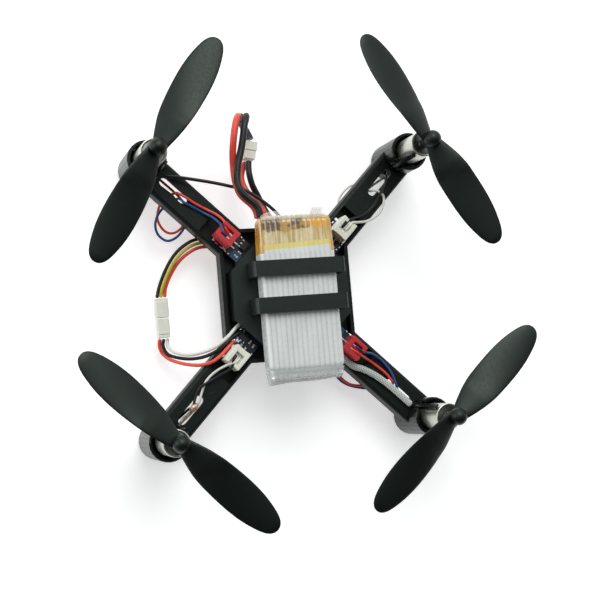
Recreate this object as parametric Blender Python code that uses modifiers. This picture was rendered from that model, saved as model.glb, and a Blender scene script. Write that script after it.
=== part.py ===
"""Mini palm drone: a four-arm moulded frame, coreless motors with two-blade propellers,
a strapped-down battery in its cage, a flight board and the wiring between them.

Units are metres. The origin is on the underside of the frame, midway between the motors.
+Y is the front and +Z is up. The four motor pods reach below the frame and carry the drone.
"""

import math

import bmesh
import bpy
from mathutils import Matrix, Vector

# Layout: the four corners of the drone, and the direction of each arm from +X
CORNERS = {"front_left": 135, "front_right": 45, "rear_left": 225, "rear_right": 315}
MOTOR_OFFSET = 0.0364
MOTOR_REACH = MOTOR_OFFSET * math.sqrt(2)

# Frame: a square tray with four arms, each ending in a motor pod
BODY_HALF = 0.018
WALL = 0.001
FRAME_HEIGHT = 0.0045
PAD_HALF = 0.003
PAD_HEIGHT = 0.0002
TRAY_FLOOR = 0.0014
ARM_HALF = 0.0046
ARM_EDGE_RADIUS = 0.001
ARM_SKIN = 0.0012
CHANNEL_HALF = 0.0035
CHANNEL_REACH = 0.02915
SLOT_HALF = 0.0012
SLOT_START = 0.0364
SLOT_END = 0.0456
STANDOFF_REACH = 0.0115
STANDOFF_RADIUS = 0.0012
POD_RADIUS = 0.0052
POD_BORE = 0.0044
POD_BOTTOM = -0.0075
POD_TOP = 0.0104
POD_FLOOR = 0.001
POD_SHELF_TOP = 0.0001
POD_SHELF_BOTTOM = -0.0008
POD_SHELF_BORE = 0.0024
POD_RIB_RADIUS = 0.0038
POD_RIB_HALF = 0.0004
NOTCH_HALF = 0.0016
NOTCH_BOTTOM = -0.0022
SLIT_HALF = 0.0013
FINGER_HALF = 0.00062
FINGER_INNER = 0.0039
FINGER_TOP = 0.0203

# Motor: a 7 mm can with a fixed magnet inside and a bell-shaped coil around the magnet
CAN_RADIUS = 0.0035
CAN_BORE = 0.0032
CAN_BOTTOM = 0.001
CAN_TOP = 0.0207
SHAFT_RADIUS = 0.0004
BEARING_RADIUS = 0.00045
MAGNET_RADIUS = 0.0021
MAGNET_BORE = 0.00078
COIL_RADIUS = 0.00285
COIL_BORE = 0.00245
COIL_BOTTOM = 0.004
COIL_TOP = 0.0196

# Propeller: 65 mm across, two blades
PROP_RADIUS = 0.0325
PROP_PLANE = 0.0259
PROP_PITCH = 0.031
PROP_ROOT_ANGLE = math.radians(25)
PROP_REST = {"front_left": 57.4, "front_right": 120.2, "rear_left": 133.8, "rear_right": 41.4}
PROP_CLOCKWISE = {"front_left", "rear_right"}
HUB_RADIUS = 0.0023
HUB_BOTTOM = 0.0216
HUB_TOP = 0.0292
# Distance from the hub's axis, and half the blade's width as seen from above
BLADE_OUTLINE = (
    (0.0010, 0.0016),
    (0.0032, 0.0028),
    (0.0070, 0.0036),
    (0.0110, 0.00415),
    (0.0155, 0.0045),
    (0.0200, 0.00455),
    (0.0240, 0.00425),
    (0.0275, 0.0036),
    (0.0300, 0.00285),
    (0.0315, 0.0020),
    (0.0323, 0.0010),
)

# Flight board and its motor connectors
BOARD_HALF = 0.01375
BOARD_BOTTOM = 0.003
BOARD_TOP = 0.004
LOBE_HALF = 0.0032
LOBE_REACH = 0.0252
CONNECTOR_CENTRE = 0.023
CONNECTOR_HALF_LENGTH = 0.0027
CONNECTOR_HALF_WIDTH = 0.0023
HEADER_TOP = 0.0064
PLUG_TOP = 0.0092
GAP = 0.0003

# Battery cage: an octagonal cover with skirts, posts for its screws and two straps
CAGE_HALF = 0.0159
CAGE_FLAT_HALF = 0.00659
CAGE_BOTTOM = 0.0017
CAGE_PLATE_BOTTOM = 0.0072
CAGE_PLATE_TOP = 0.0084
CAGE_POST = (0.0104, 0.0092)
CAGE_POST_RADIUS = 0.0016
SCREW_BORE = 0.0008
STRAP_LEFT = -0.0119
STRAP_RIGHT = 0.013
STRAP_THICKNESS = 0.0012
STRAP_UNDERSIDE = 0.0153
STRAP_TOP = 0.0166
STRAP_BANDS = ((0.0039, 0.008), (-0.0057, -0.0016))
WIRE_NOTCH = ((-0.0061, 0.0145, 0.0042), (0.0007, 0.0163, 0.0072))

# Battery: a pouch in a wound tape sleeve, with its protection board taped over at the front
BATTERY_LEFT = -0.0096
BATTERY_RIGHT = 0.0111
BATTERY_BOTTOM = 0.0087
BATTERY_TOP = 0.0149
BATTERY_REAR = -0.0239
BATTERY_FRONT = 0.02
WRAP_FRONT = 0.0096
WRAP_THICKNESS = 0.00025

# Wire diameters
MOTOR_WIRE = 0.0007
SIGNAL_WIRE = 0.00095
SUPPLY_WIRE = 0.0017
BATTERY_WIRE = 0.0019

# Routes of the loose leads and cables, from one end to the other
ROUTES = {
    "battery_lead_black": (
        BATTERY_WIRE,
        (
            (-0.0083, 0.0206, 0.0129),
            (-0.0087, 0.0222, 0.0129),
            (-0.0097, 0.0236, 0.0129),
            (-0.0114, 0.0251, 0.0128),
            (-0.0128, 0.0269, 0.0127),
            (-0.0135, 0.0299, 0.0124),
            (-0.0129, 0.0338, 0.0121),
            (-0.0118, 0.0374, 0.0120),
            (-0.0109, 0.0410, 0.0120),
            (-0.0102, 0.0443, 0.0118),
            (-0.0096, 0.0459, 0.0114),
            (-0.0091, 0.0471, 0.0104),
            (-0.0088, 0.0474, 0.0091),
        ),
    ),
    "battery_lead_red": (
        BATTERY_WIRE,
        (
            (-0.0083, 0.0206, 0.0104),
            (-0.0087, 0.0222, 0.0103),
            (-0.0097, 0.0237, 0.0102),
            (-0.0113, 0.0252, 0.0101),
            (-0.0126, 0.0270, 0.0100),
            (-0.0134, 0.0302, 0.0099),
            (-0.0136, 0.0338, 0.0100),
            (-0.0138, 0.0370, 0.0112),
            (-0.0136, 0.0402, 0.0122),
            (-0.0131, 0.0429, 0.0123),
            (-0.0126, 0.0447, 0.0120),
            (-0.0120, 0.0462, 0.0113),
            (-0.0113, 0.0472, 0.0102),
            (-0.0110, 0.0474, 0.0089),
        ),
    ),
    "lead_sleeve": (
        0.003,
        (
            (-0.0099, 0.0473, 0.0078),
            (-0.0097, 0.0470, 0.0067),
            (-0.0091, 0.0461, 0.0056),
            (-0.0082, 0.0447, 0.0047),
            (-0.0074, 0.0431, 0.0044),
            (-0.0071, 0.0420, 0.0044),
        ),
    ),
    "supply_lead_black": (
        SUPPLY_WIRE,
        (
            (-0.0082, 0.0360, 0.0056),
            (-0.0084, 0.0340, 0.0058),
            (-0.0083, 0.0318, 0.0060),
            (-0.0076, 0.0292, 0.0056),
            (-0.0062, 0.0266, 0.0048),
            (-0.0050, 0.0240, 0.0044),
            (-0.0040, 0.0215, 0.0049),
            (-0.0030, 0.0190, 0.0058),
            (-0.0026, 0.0163, 0.0060),
            (-0.0026, 0.0132, 0.0052),
        ),
    ),
    "supply_lead_red": (
        SUPPLY_WIRE,
        (
            (-0.0084, 0.0361, 0.0032),
            (-0.0095, 0.0342, 0.0033),
            (-0.0101, 0.0313, 0.0038),
            (-0.0093, 0.0279, 0.0052),
            (-0.0071, 0.0246, 0.0064),
            (-0.0055, 0.0218, 0.0067),
            (-0.0048, 0.0190, 0.0064),
            (-0.0047, 0.0163, 0.0060),
            (-0.0046, 0.0132, 0.0052),
        ),
    ),
    "antenna_wire": (
        0.0009,
        (
            (-0.0007, 0.0132, 0.0048),
            (-0.0007, 0.0160, 0.0060),
            (-0.0010, 0.0186, 0.0074),
            (-0.0022, 0.0212, 0.0080),
            (-0.0058, 0.0246, 0.0081),
            (-0.0106, 0.0279, 0.0079),
            (-0.0144, 0.0291, 0.0076),
            (-0.0186, 0.0302, 0.0074),
            (-0.0228, 0.0311, 0.0072),
            (-0.0274, 0.0321, 0.0064),
            (-0.0312, 0.0327, 0.0056),
        ),
    ),
    "antenna_sleeve": (
        0.0018,
        (
            (0.0101, -0.0148, 0.0054),
            (0.0116, -0.0166, 0.0054),
            (0.0138, -0.0187, 0.0055),
            (0.0163, -0.0210, 0.0055),
            (0.0190, -0.0221, 0.0055),
            (0.0224, -0.0241, 0.0055),
            (0.0261, -0.0271, 0.0055),
            (0.0292, -0.0301, 0.0055),
            (0.0320, -0.0329, 0.0055),
        ),
    ),
    "receiver_wire_black": (
        SIGNAL_WIRE,
        (
            (-0.0096, 0.0132, -0.0018),
            (-0.0132, 0.0146, -0.0016),
            (-0.0178, 0.0163, -0.0013),
            (-0.0225, 0.0165, -0.0012),
            (-0.0261, 0.0150, -0.0014),
            (-0.0291, 0.0124, -0.0018),
            (-0.0315, 0.0088, -0.0023),
            (-0.0334, 0.0047, -0.0026),
            (-0.0344, 0.0015, -0.0025),
        ),
    ),
    "receiver_wire_yellow": (
        SIGNAL_WIRE,
        (
            (-0.0096, 0.0121, -0.0018),
            (-0.0130, 0.0135, -0.0016),
            (-0.0176, 0.0151, -0.0014),
            (-0.0220, 0.0154, -0.0011),
            (-0.0255, 0.0141, -0.0010),
            (-0.0284, 0.0117, -0.0010),
            (-0.0308, 0.0083, -0.0013),
            (-0.0326, 0.0046, -0.0017),
            (-0.0334, 0.0015, -0.0025),
        ),
    ),
    "receiver_wire_red": (
        SIGNAL_WIRE,
        (
            (-0.0096, 0.0110, -0.0018),
            (-0.0128, 0.0124, -0.0016),
            (-0.0173, 0.0139, -0.0015),
            (-0.0215, 0.0143, -0.0013),
            (-0.0248, 0.0131, -0.0013),
            (-0.0277, 0.0109, -0.0016),
            (-0.0301, 0.0077, -0.0020),
            (-0.0318, 0.0042, -0.0023),
            (-0.0323, 0.0015, -0.0025),
        ),
    ),
    "signal_wire_white": (
        SIGNAL_WIRE,
        (
            (-0.0323, -0.0096, -0.0025),
            (-0.0325, -0.0114, -0.0023),
            (-0.0313, -0.0132, -0.0012),
            (-0.0281, -0.0144, 0.0014),
            (-0.0246, -0.0141, 0.0036),
            (-0.0214, -0.0130, 0.0054),
            (-0.0179, -0.0106, 0.0060),
            (-0.0154, -0.0083, 0.0056),
            (-0.0132, -0.0069, 0.0049),
        ),
    ),
    "signal_wire_black": (
        SIGNAL_WIRE,
        (
            (-0.0334, -0.0096, -0.0025),
            (-0.0337, -0.0116, -0.0026),
            (-0.0323, -0.0140, -0.0023),
            (-0.0283, -0.0154, 0.0000),
            (-0.0246, -0.0154, 0.0026),
            (-0.0214, -0.0143, 0.0049),
            (-0.0184, -0.0122, 0.0055),
            (-0.0157, -0.0103, 0.0051),
            (-0.0134, -0.0092, 0.0049),
        ),
    ),
    "signal_wire_red": (
        SIGNAL_WIRE,
        (
            (-0.0345, -0.0096, -0.0025),
            (-0.0346, -0.0116, -0.0031),
            (-0.0337, -0.0137, -0.0033),
            (-0.0319, -0.0154, -0.0019),
            (-0.0288, -0.0168, 0.0010),
            (-0.0256, -0.0174, 0.0038),
            (-0.0229, -0.0170, 0.0054),
            (-0.0204, -0.0156, 0.0056),
            (-0.0180, -0.0135, 0.0053),
            (-0.0161, -0.0118, 0.0049),
        ),
    ),
}

# Routes of the motor wires, as distance along the arm, offset to its left, and height.
# Each starts at its plug, and ends under the motor after the shared way through the pod.
MOTOR_ROUTES = {
    "front_left": {
        "blue": (
            (0.0260, -0.0009, 0.0076),
            (0.0285, -0.0013, 0.0061),
            (0.0312, -0.0008, 0.0051),
            (0.0345, 0.0000, 0.0051),
            (0.0369, 0.0006, 0.0051),
            (0.0383, 0.0005, 0.0044),
            (0.0387, 0.0004, 0.0028),
            (0.0392, 0.0015, 0.0010),
            (0.0398, 0.0032, -0.0010),
            (0.0397, 0.0063, -0.0015),
            (0.0384, 0.0088, -0.0020),
            (0.0361, 0.0102, -0.0023),
            (0.0334, 0.0099, -0.0022),
            (0.0321, 0.0078, -0.0018),
            (0.0321, 0.0048, -0.0013),
            (0.0332, 0.0022, -0.0008),
            (0.0360, 0.0012, 0.0002),
            (0.0400, 0.0004, 0.0008),
        ),
        "red": (
            (0.0260, -0.0022, 0.0076),
            (0.0285, -0.0025, 0.0061),
            (0.0312, -0.0020, 0.0051),
            (0.0342, -0.0012, 0.0051),
            (0.0373, -0.0007, 0.0052),
            (0.0394, -0.0003, 0.0047),
            (0.0402, -0.0002, 0.0032),
            (0.0408, 0.0010, 0.0012),
            (0.0413, 0.0030, -0.0008),
            (0.0403, 0.0054, -0.0024),
            (0.0386, 0.0072, -0.0031),
            (0.0358, 0.0080, -0.0034),
            (0.0337, 0.0073, -0.0033),
            (0.0327, 0.0052, -0.0030),
            (0.0330, 0.0025, -0.0024),
            (0.0350, 0.0000, -0.0014),
            (0.0385, -0.0008, 0.0002),
        ),
    },
    "front_right": {
        "black": (
            (0.0260, 0.0003, 0.0076),
            (0.0285, -0.0010, 0.0063),
            (0.0312, -0.0023, 0.0052),
            (0.0342, -0.0027, 0.0051),
            (0.0368, -0.0023, 0.0055),
            (0.0385, -0.0019, 0.0059),
            (0.0403, -0.0016, 0.0053),
            (0.0418, -0.0012, 0.0052),
            (0.0432, -0.0005, 0.0050),
            (0.0439, -0.0002, 0.0040),
            (0.0442, 0.0001, 0.0024),
        ),
        "white": (
            (0.0260, -0.0008, 0.0076),
            (0.0275, -0.0021, 0.0066),
            (0.0300, -0.0041, 0.0057),
            (0.0335, -0.0052, 0.0055),
            (0.0366, -0.0047, 0.0053),
            (0.0385, -0.0034, 0.0051),
            (0.0388, -0.0021, 0.0050),
            (0.0385, -0.0008, 0.0051),
            (0.0380, 0.0000, 0.0044),
            (0.0378, 0.0003, 0.0029),
            (0.0377, 0.0014, 0.0010),
            (0.0382, 0.0032, -0.0010),
            (0.0371, 0.0046, -0.0015),
            (0.0347, 0.0052, -0.0016),
            (0.0319, 0.0050, -0.0016),
            (0.0305, 0.0040, -0.0015),
            (0.0310, 0.0020, -0.0012),
            (0.0340, 0.0010, -0.0004),
            (0.0390, 0.0007, 0.0006),
        ),
    },
    "rear_left": {
        "white": (
            (0.0260, -0.0006, 0.0076),
            (0.0285, -0.0015, 0.0060),
            (0.0310, -0.0019, 0.0051),
            (0.0332, -0.0018, 0.0050),
            (0.0350, -0.0012, 0.0050),
            (0.0366, -0.0005, 0.0051),
            (0.0382, 0.0002, 0.0050),
            (0.0394, 0.0004, 0.0046),
            (0.0402, 0.0005, 0.0038),
            (0.0407, 0.0006, 0.0028),
            (0.0422, 0.0007, 0.0018),
        ),
        "black": (
            (0.0260, 0.0006, 0.0076),
            (0.0290, -0.0002, 0.0060),
            (0.0313, -0.0009, 0.0054),
            (0.0333, -0.0017, 0.0059),
            (0.0352, -0.0021, 0.0054),
            (0.0374, -0.0015, 0.0051),
            (0.0394, -0.0006, 0.0051),
            (0.0405, -0.0003, 0.0043),
            (0.0410, -0.0004, 0.0028),
        ),
    },
    "rear_right": {
        "blue": (
            (0.0260, 0.0011, 0.0076),
            (0.0281, 0.0024, 0.0065),
            (0.0312, 0.0031, 0.0053),
            (0.0336, 0.0030, 0.0051),
            (0.0358, 0.0025, 0.0051),
            (0.0376, 0.0017, 0.0051),
            (0.0390, 0.0009, 0.0052),
            (0.0400, 0.0004, 0.0048),
            (0.0406, 0.0004, 0.0038),
            (0.0408, 0.0005, 0.0022),
            (0.0408, 0.0006, 0.0004),
            (0.0402, 0.0003, -0.0013),
            (0.0389, -0.0008, -0.0020),
            (0.0366, -0.0026, -0.0024),
            (0.0340, -0.0045, -0.0027),
            (0.0309, -0.0062, -0.0028),
            (0.0279, -0.0068, -0.0028),
            (0.0249, -0.0060, -0.0028),
            (0.0238, -0.0036, -0.0027),
            (0.0260, -0.0012, -0.0026),
            (0.0302, 0.0004, -0.0023),
            (0.0352, 0.0012, -0.0017),
            (0.0396, 0.0014, -0.0008),
            (0.0422, 0.0008, 0.0001),
        ),
        "red": (
            (0.0260, -0.0001, 0.0076),
            (0.0285, 0.0006, 0.0058),
            (0.0310, 0.0011, 0.0050),
            (0.0345, 0.0013, 0.0051),
            (0.0370, 0.0010, 0.0051),
            (0.0384, 0.0007, 0.0044),
            (0.0387, 0.0004, 0.0028),
            (0.0376, -0.0008, 0.0006),
            (0.0352, -0.0026, -0.0010),
            (0.0332, -0.0044, -0.0015),
            (0.0307, -0.0060, -0.0018),
            (0.0275, -0.0063, -0.0019),
            (0.0250, -0.0050, -0.0016),
            (0.0250, -0.0025, -0.0012),
            (0.0280, -0.0008, -0.0010),
            (0.0330, -0.0002, -0.0006),
            (0.0380, -0.0006, 0.0000),
        ),
    },
}
# The way through the pod: distance along the arm, sideways offset and height
POD_WAY = (
    (0.0448, 0.0007, 0.0008),
    (0.0466, 0.0007, 0.0002),
    (0.0483, 0.0007, -0.0010),
    (0.0496, 0.0008, -0.0012),
    (0.0504, 0.0009, -0.0003),
    (0.0504, 0.0009, 0.0001),
)

COLOURS = {
    "black_nylon": ((0.012, 0.013, 0.012), 0.45, 0.0),
    "prop_black": ((0.016, 0.018, 0.018), 0.5, 0.0),
    "motor_steel": ((0.72, 0.73, 0.72), 0.25, 1.0),
    "magnet_grey": ((0.3, 0.3, 0.31), 0.35, 1.0),
    "copper_coil": ((0.6, 0.25, 0.12), 0.4, 1.0),
    "board_blue": ((0.01, 0.025, 0.08), 0.35, 0.0),
    "pouch_silver": ((0.75, 0.77, 0.78), 0.3, 0.3),
    "clear_tape": ((0.85, 0.87, 0.87), 0.2, 0.0),
    "amber_tape": ((0.55, 0.28, 0.03), 0.3, 0.0),
    "screw_black": ((0.05, 0.05, 0.05), 0.35, 1.0),
    "plug_white": ((0.8, 0.8, 0.72), 0.45, 0.0),
    "plug_red": ((0.6, 0.02, 0.02), 0.4, 0.0),
    "red": ((0.65, 0.03, 0.02), 0.45, 0.0),
    "black": ((0.01, 0.01, 0.01), 0.45, 0.0),
    "blue": ((0.02, 0.1, 0.35), 0.45, 0.0),
    "white": ((0.8, 0.8, 0.75), 0.45, 0.0),
    "yellow": ((0.6, 0.5, 0.03), 0.45, 0.0),
}

# The turn that lays a flat outline's plane upright, across Y
UPRIGHT = Matrix.Rotation(math.pi / 2, 4, "X")
# The turn that lays a flat outline's plane across X, its own X pointing along Y
ACROSS_X = Matrix(((0, 0, 1, 0), (1, 0, 0, 0), (0, 1, 0, 0), (0, 0, 0, 1)))


# Helpers

def new_collection(name):
    collection = bpy.data.collections.new(name)
    bpy.context.scene.collection.children.link(collection)
    return collection


def clear_scene():
    for obj in list(bpy.data.objects):
        bpy.data.objects.remove(obj)


def finish_with(obj, colour):
    """Gives the object its own material and smooth shading."""
    base, roughness, metallic = COLOURS[colour]
    material = bpy.data.materials.new(obj.name)
    material.use_nodes = True
    shader = material.node_tree.nodes["Principled BSDF"]
    shader.inputs["Base Color"].default_value = (*base, 1)
    shader.inputs["Roughness"].default_value = roughness
    shader.inputs["Metallic"].default_value = metallic
    obj.data.materials.clear()
    obj.data.materials.append(material)
    if obj.type == "MESH":
        obj.data.shade_smooth()
        obj.data.set_sharp_from_angle(angle=math.radians(35))
    return obj


def object_from(bm, name, collection):
    mesh = bpy.data.meshes.new(name)
    bm.to_mesh(mesh)
    bm.free()
    obj = bpy.data.objects.new(name, mesh)
    collection.objects.link(obj)
    return obj


def block(name, low, high, collection):
    """Axis-aligned box between two corners."""
    low, high = Vector(low), Vector(high)
    bm = bmesh.new()
    bmesh.ops.create_cube(bm, size=1)
    bmesh.ops.scale(bm, vec=high - low, verts=bm.verts)
    bmesh.ops.translate(bm, vec=(low + high) / 2, verts=bm.verts)
    return object_from(bm, name, collection)


def cylinder(name, radius, low, high, centre, collection, segments=24):
    bm = bmesh.new()
    bmesh.ops.create_cone(bm, cap_ends=True, segments=segments, radius1=radius, radius2=radius, depth=high - low)
    bmesh.ops.translate(bm, vec=(*centre, (low + high) / 2), verts=bm.verts)
    return object_from(bm, name, collection)


def turned(name, profile, segments, collection, closed=False):
    """Solid of revolution about Z. The profile's outer side runs from top to bottom."""
    bm = bmesh.new()
    points = [bm.verts.new((radius, 0, height)) for radius, height in profile]
    for start, end in zip(points, points[1:]):
        bm.edges.new((start, end))
    if closed:
        bm.edges.new((points[-1], points[0]))
    obj = object_from(bm, name, collection)
    screw = obj.modifiers.new("turn", "SCREW")
    screw.steps = segments
    screw.render_steps = segments
    screw.use_merge_vertices = True
    screw.merge_threshold = 0.00001
    return obj


def meshed(source, collection):
    """Mesh object with the evaluated shape and place of a curve or a modified object, which is removed."""
    bpy.context.view_layer.update()
    evaluated = source.evaluated_get(bpy.context.evaluated_depsgraph_get())
    mesh = bpy.data.meshes.new_from_object(evaluated)
    bm = bmesh.new()
    bm.from_mesh(mesh)
    bmesh.ops.remove_doubles(bm, verts=bm.verts, dist=0.000001)
    bm.to_mesh(mesh)
    bm.free()
    name = source.name
    place = source.matrix_world.copy()
    bpy.data.objects.remove(source)
    obj = bpy.data.objects.new(name, mesh)
    obj.matrix_world = place
    collection.objects.link(obj)
    return obj


def flat_solid(name, outline, low, high, collection, turn=None):
    """Solid between two heights over a flat outline, then turned to lie in another plane."""
    curve = bpy.data.curves.new(name, "CURVE")
    curve.dimensions = "2D"
    curve.fill_mode = "BOTH"
    curve.extrude = (high - low) / 2
    spline = curve.splines.new("POLY")
    spline.points.add(len(outline) - 1)
    for point, (x, y) in zip(spline.points, outline):
        point.co = (x, y, 0, 1)
    spline.use_cyclic_u = True
    source = bpy.data.objects.new(name, curve)
    collection.objects.link(source)
    source.matrix_world = (turn or Matrix()) @ Matrix.Translation((0, 0, (low + high) / 2))
    return meshed(source, collection)


def boolean(target, tool, operation):
    modifier = target.modifiers.new(tool.name, "BOOLEAN")
    modifier.operation = operation
    modifier.object = tool
    tool.hide_render = True
    tool.display_type = "WIRE"


def join(target, tool):
    boolean(target, tool, "UNION")


def cut(target, tool):
    boolean(target, tool, "DIFFERENCE")


def soften(obj, width, segments=1):
    """Rounds every edge of a block."""
    bevel = obj.modifiers.new("soften", "BEVEL")
    bevel.width = width
    bevel.segments = segments
    bevel.limit_method = "ANGLE"
    return obj


def arc(centre, radius, start, end, steps):
    """Points on an arc, with angles in degrees."""
    points = []
    for step in range(steps + 1):
        angle = math.radians(start + (end - start) * step / steps)
        points.append((centre[0] + radius * math.cos(angle), centre[1] + radius * math.sin(angle)))
    return points


def cross_outline(half, lobe_half, reach):
    """Square with a straight-sided lobe along each arm."""
    edge = half * math.sqrt(2) - lobe_half
    outline = []
    for azimuth in sorted(CORNERS.values()):
        turn = Matrix.Rotation(math.radians(azimuth), 2)
        for x, y in ((edge, -lobe_half), (reach, -lobe_half), (reach, lobe_half), (edge, lobe_half)):
            outline.append(tuple(turn @ Vector((x, y))))
    return outline


def along_arm(azimuth, distance, offset, height):
    """World point from the distance along an arm, the offset to its left and the height."""
    return Matrix.Rotation(math.radians(azimuth), 3, "Z") @ Vector((distance, offset, height))


def smooth_route(route, spacing):
    """Evenly spaced points on a smooth curve through the route's points."""
    points = [Vector(point) for point in route]
    points = [points[0] * 2 - points[1], *points, points[-1] * 2 - points[-2]]
    fine = []
    for a, b, c, d in zip(points, points[1:], points[2:], points[3:]):
        for step in range(12):
            t = step / 12
            fine.append(0.5 * (2 * b + (c - a) * t + (2 * a - 5 * b + 4 * c - d) * t**2 + (3 * b - a - 3 * c + d) * t**3))
    fine.append(points[-2])
    travel = [0.0]
    for start, end in zip(fine, fine[1:]):
        travel.append(travel[-1] + (end - start).length)
    count = max(round(travel[-1] / spacing), 3)
    even = []
    place = 0
    for step in range(count + 1):
        target = travel[-1] * step / count
        while place < len(fine) - 2 and travel[place + 1] < target:
            place += 1
        part = (target - travel[place]) / (travel[place + 1] - travel[place])
        even.append(fine[place].lerp(fine[place + 1], min(part, 1)))
    return even


def wire(name, route, diameter, colour, collection, spacing=3):
    """Round wire along a smooth route, with flat closed ends."""
    curve = bpy.data.curves.new(name, "CURVE")
    curve.dimensions = "3D"
    curve.bevel_depth = diameter / 2
    curve.bevel_resolution = 2
    curve.use_fill_caps = True
    points = smooth_route(route, spacing * diameter)
    spline = curve.splines.new("POLY")
    spline.points.add(len(points) - 1)
    for knot, point in zip(spline.points, points):
        knot.co = (*point, 1)
    obj = bpy.data.objects.new(name, curve)
    collection.objects.link(obj)
    return finish_with(obj, colour)


# Frame

def arm_unit(tools):
    """One arm and its pod, with the arm along +X from the centre of the drone."""
    edge = ARM_HALF - ARM_EDGE_RADIUS
    shoulder = FRAME_HEIGHT - ARM_EDGE_RADIUS
    section = [(-ARM_HALF, 0), (ARM_HALF, 0)]
    section += arc((edge, shoulder), ARM_EDGE_RADIUS, 0, 90, 3)
    section += arc((-edge, shoulder), ARM_EDGE_RADIUS, 90, 180, 3)
    arm = flat_solid("arm", section, 0.017, MOTOR_REACH, tools, ACROSS_X)

    inside = ARM_HALF - ARM_SKIN
    underside = CHANNEL_REACH + ARM_SKIN
    cut(arm, block("arm_hollow", (underside, -inside, -0.001), (0.049, inside, FRAME_HEIGHT - ARM_SKIN), tools))
    slot = arc((SLOT_END - SLOT_HALF, 0), SLOT_HALF, -90, 90, 6)
    slot += arc((SLOT_START + SLOT_HALF, 0), SLOT_HALF, 90, 270, 6)
    cut(arm, flat_solid("wire_slot", slot, 0.002, 0.006, tools))
    cut(arm, cylinder("pod_clearance", POD_BORE + 0.0004, -0.001, 0.006, (MOTOR_REACH, 0), tools))

    pod = turned("pod", pod_profile(), 24, tools)
    pod.location.x = MOTOR_REACH
    join(arm, pod)
    near = MOTOR_REACH - POD_RADIUS
    cut(arm, block("wire_notch", (near - 0.001, -NOTCH_HALF, NOTCH_BOTTOM), (near + 0.004, NOTCH_HALF, 0.0033), tools))
    cut(arm, block("finger_slit", (near - 0.0005, -SLIT_HALF, FRAME_HEIGHT), (near + 0.0015, SLIT_HALF, 0.012), tools))
    inner = MOTOR_REACH - FINGER_INNER
    finger = [(near + 0.0002, 0.0036), (inner, 0.0036), (inner, FINGER_TOP), (inner - 0.0004, FINGER_TOP)]
    join(arm, flat_solid("finger", finger, -FINGER_HALF, FINGER_HALF, tools, UPRIGHT))
    for number, azimuth in enumerate((-120, 0, 120)):
        rib = block("rib", (POD_RIB_RADIUS, -POD_RIB_HALF, 0.0008), (POD_BORE + 0.0003, POD_RIB_HALF, 0.0096), tools)
        rib.location.x = MOTOR_REACH
        rib.rotation_euler.z = math.radians(azimuth)
        rib.name = f"rib_{number}"
        join(arm, rib)
    return meshed(arm, tools)


def pod_profile():
    """The pod's section: down to the inner floor at the axis, up inside, and down the outer side."""
    floor = POD_BOTTOM + POD_FLOOR
    rim = POD_TOP - 0.0003
    profile = [
        (0, floor),
        (POD_BORE, floor),
        (POD_BORE, POD_SHELF_BOTTOM),
        (POD_SHELF_BORE, POD_SHELF_BOTTOM),
        (POD_SHELF_BORE, POD_SHELF_TOP),
        (POD_BORE, POD_SHELF_TOP),
        (POD_BORE, POD_TOP),
        (POD_RADIUS - 0.0003, POD_TOP),
        (POD_RADIUS, rim),
    ]
    profile += arc((POD_RADIUS - 0.001, POD_BOTTOM + 0.001), 0.001, 0, -90, 3)
    profile.append((0, POD_BOTTOM))
    return profile


def frame(parts, tools):
    corner = BODY_HALF
    body = flat_solid("frame", [(-corner, -corner), (corner, -corner), (corner, corner), (-corner, corner)],
                      0, FRAME_HEIGHT, parts)
    unit = arm_unit(tools)
    for name, azimuth in CORNERS.items():
        arm = bpy.data.objects.new(f"{name}_arm", unit.data)
        arm.matrix_world = Matrix.Rotation(math.radians(azimuth), 4, "Z") @ unit.matrix_world
        tools.objects.link(arm)
        join(body, arm)
    bpy.data.objects.remove(unit)
    tray = cross_outline(BODY_HALF - WALL, CHANNEL_HALF, CHANNEL_REACH)
    cut(body, flat_solid("tray", tray, TRAY_FLOOR, 0.006, tools))
    reach = BODY_HALF - WALL
    hollow = block("underside_hollow", (-reach, -reach, -0.001), (reach, reach, PAD_HEIGHT), tools)
    cut(hollow, block("pad", (-PAD_HALF, -PAD_HALF, -0.002), (PAD_HALF, PAD_HALF, 0.001), tools))
    cut(body, hollow)
    for number, azimuth in enumerate((0, 90, 180, 270)):
        centre = along_arm(azimuth, STANDOFF_REACH, 0, 0).xy
        join(body, cylinder(f"standoff_{number}", STANDOFF_RADIUS, 0.001, BOARD_BOTTOM - GAP, centre, tools, 16))
    for number, (x, y) in enumerate(screw_centres()):
        cut(body, cylinder(f"screw_recess_{number}", 0.0016, -0.001, 0.001, (x, y), tools, 16))
        cut(body, cylinder(f"screw_hole_{number}", 0.0009, 0, 0.002, (x, y), tools, 16))
    return finish_with(body, "black_nylon")


def screw_centres():
    x, y = CAGE_POST
    return [(x, y), (-x, y), (-x, -y), (x, -y)]


# Board, cage and battery

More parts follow.
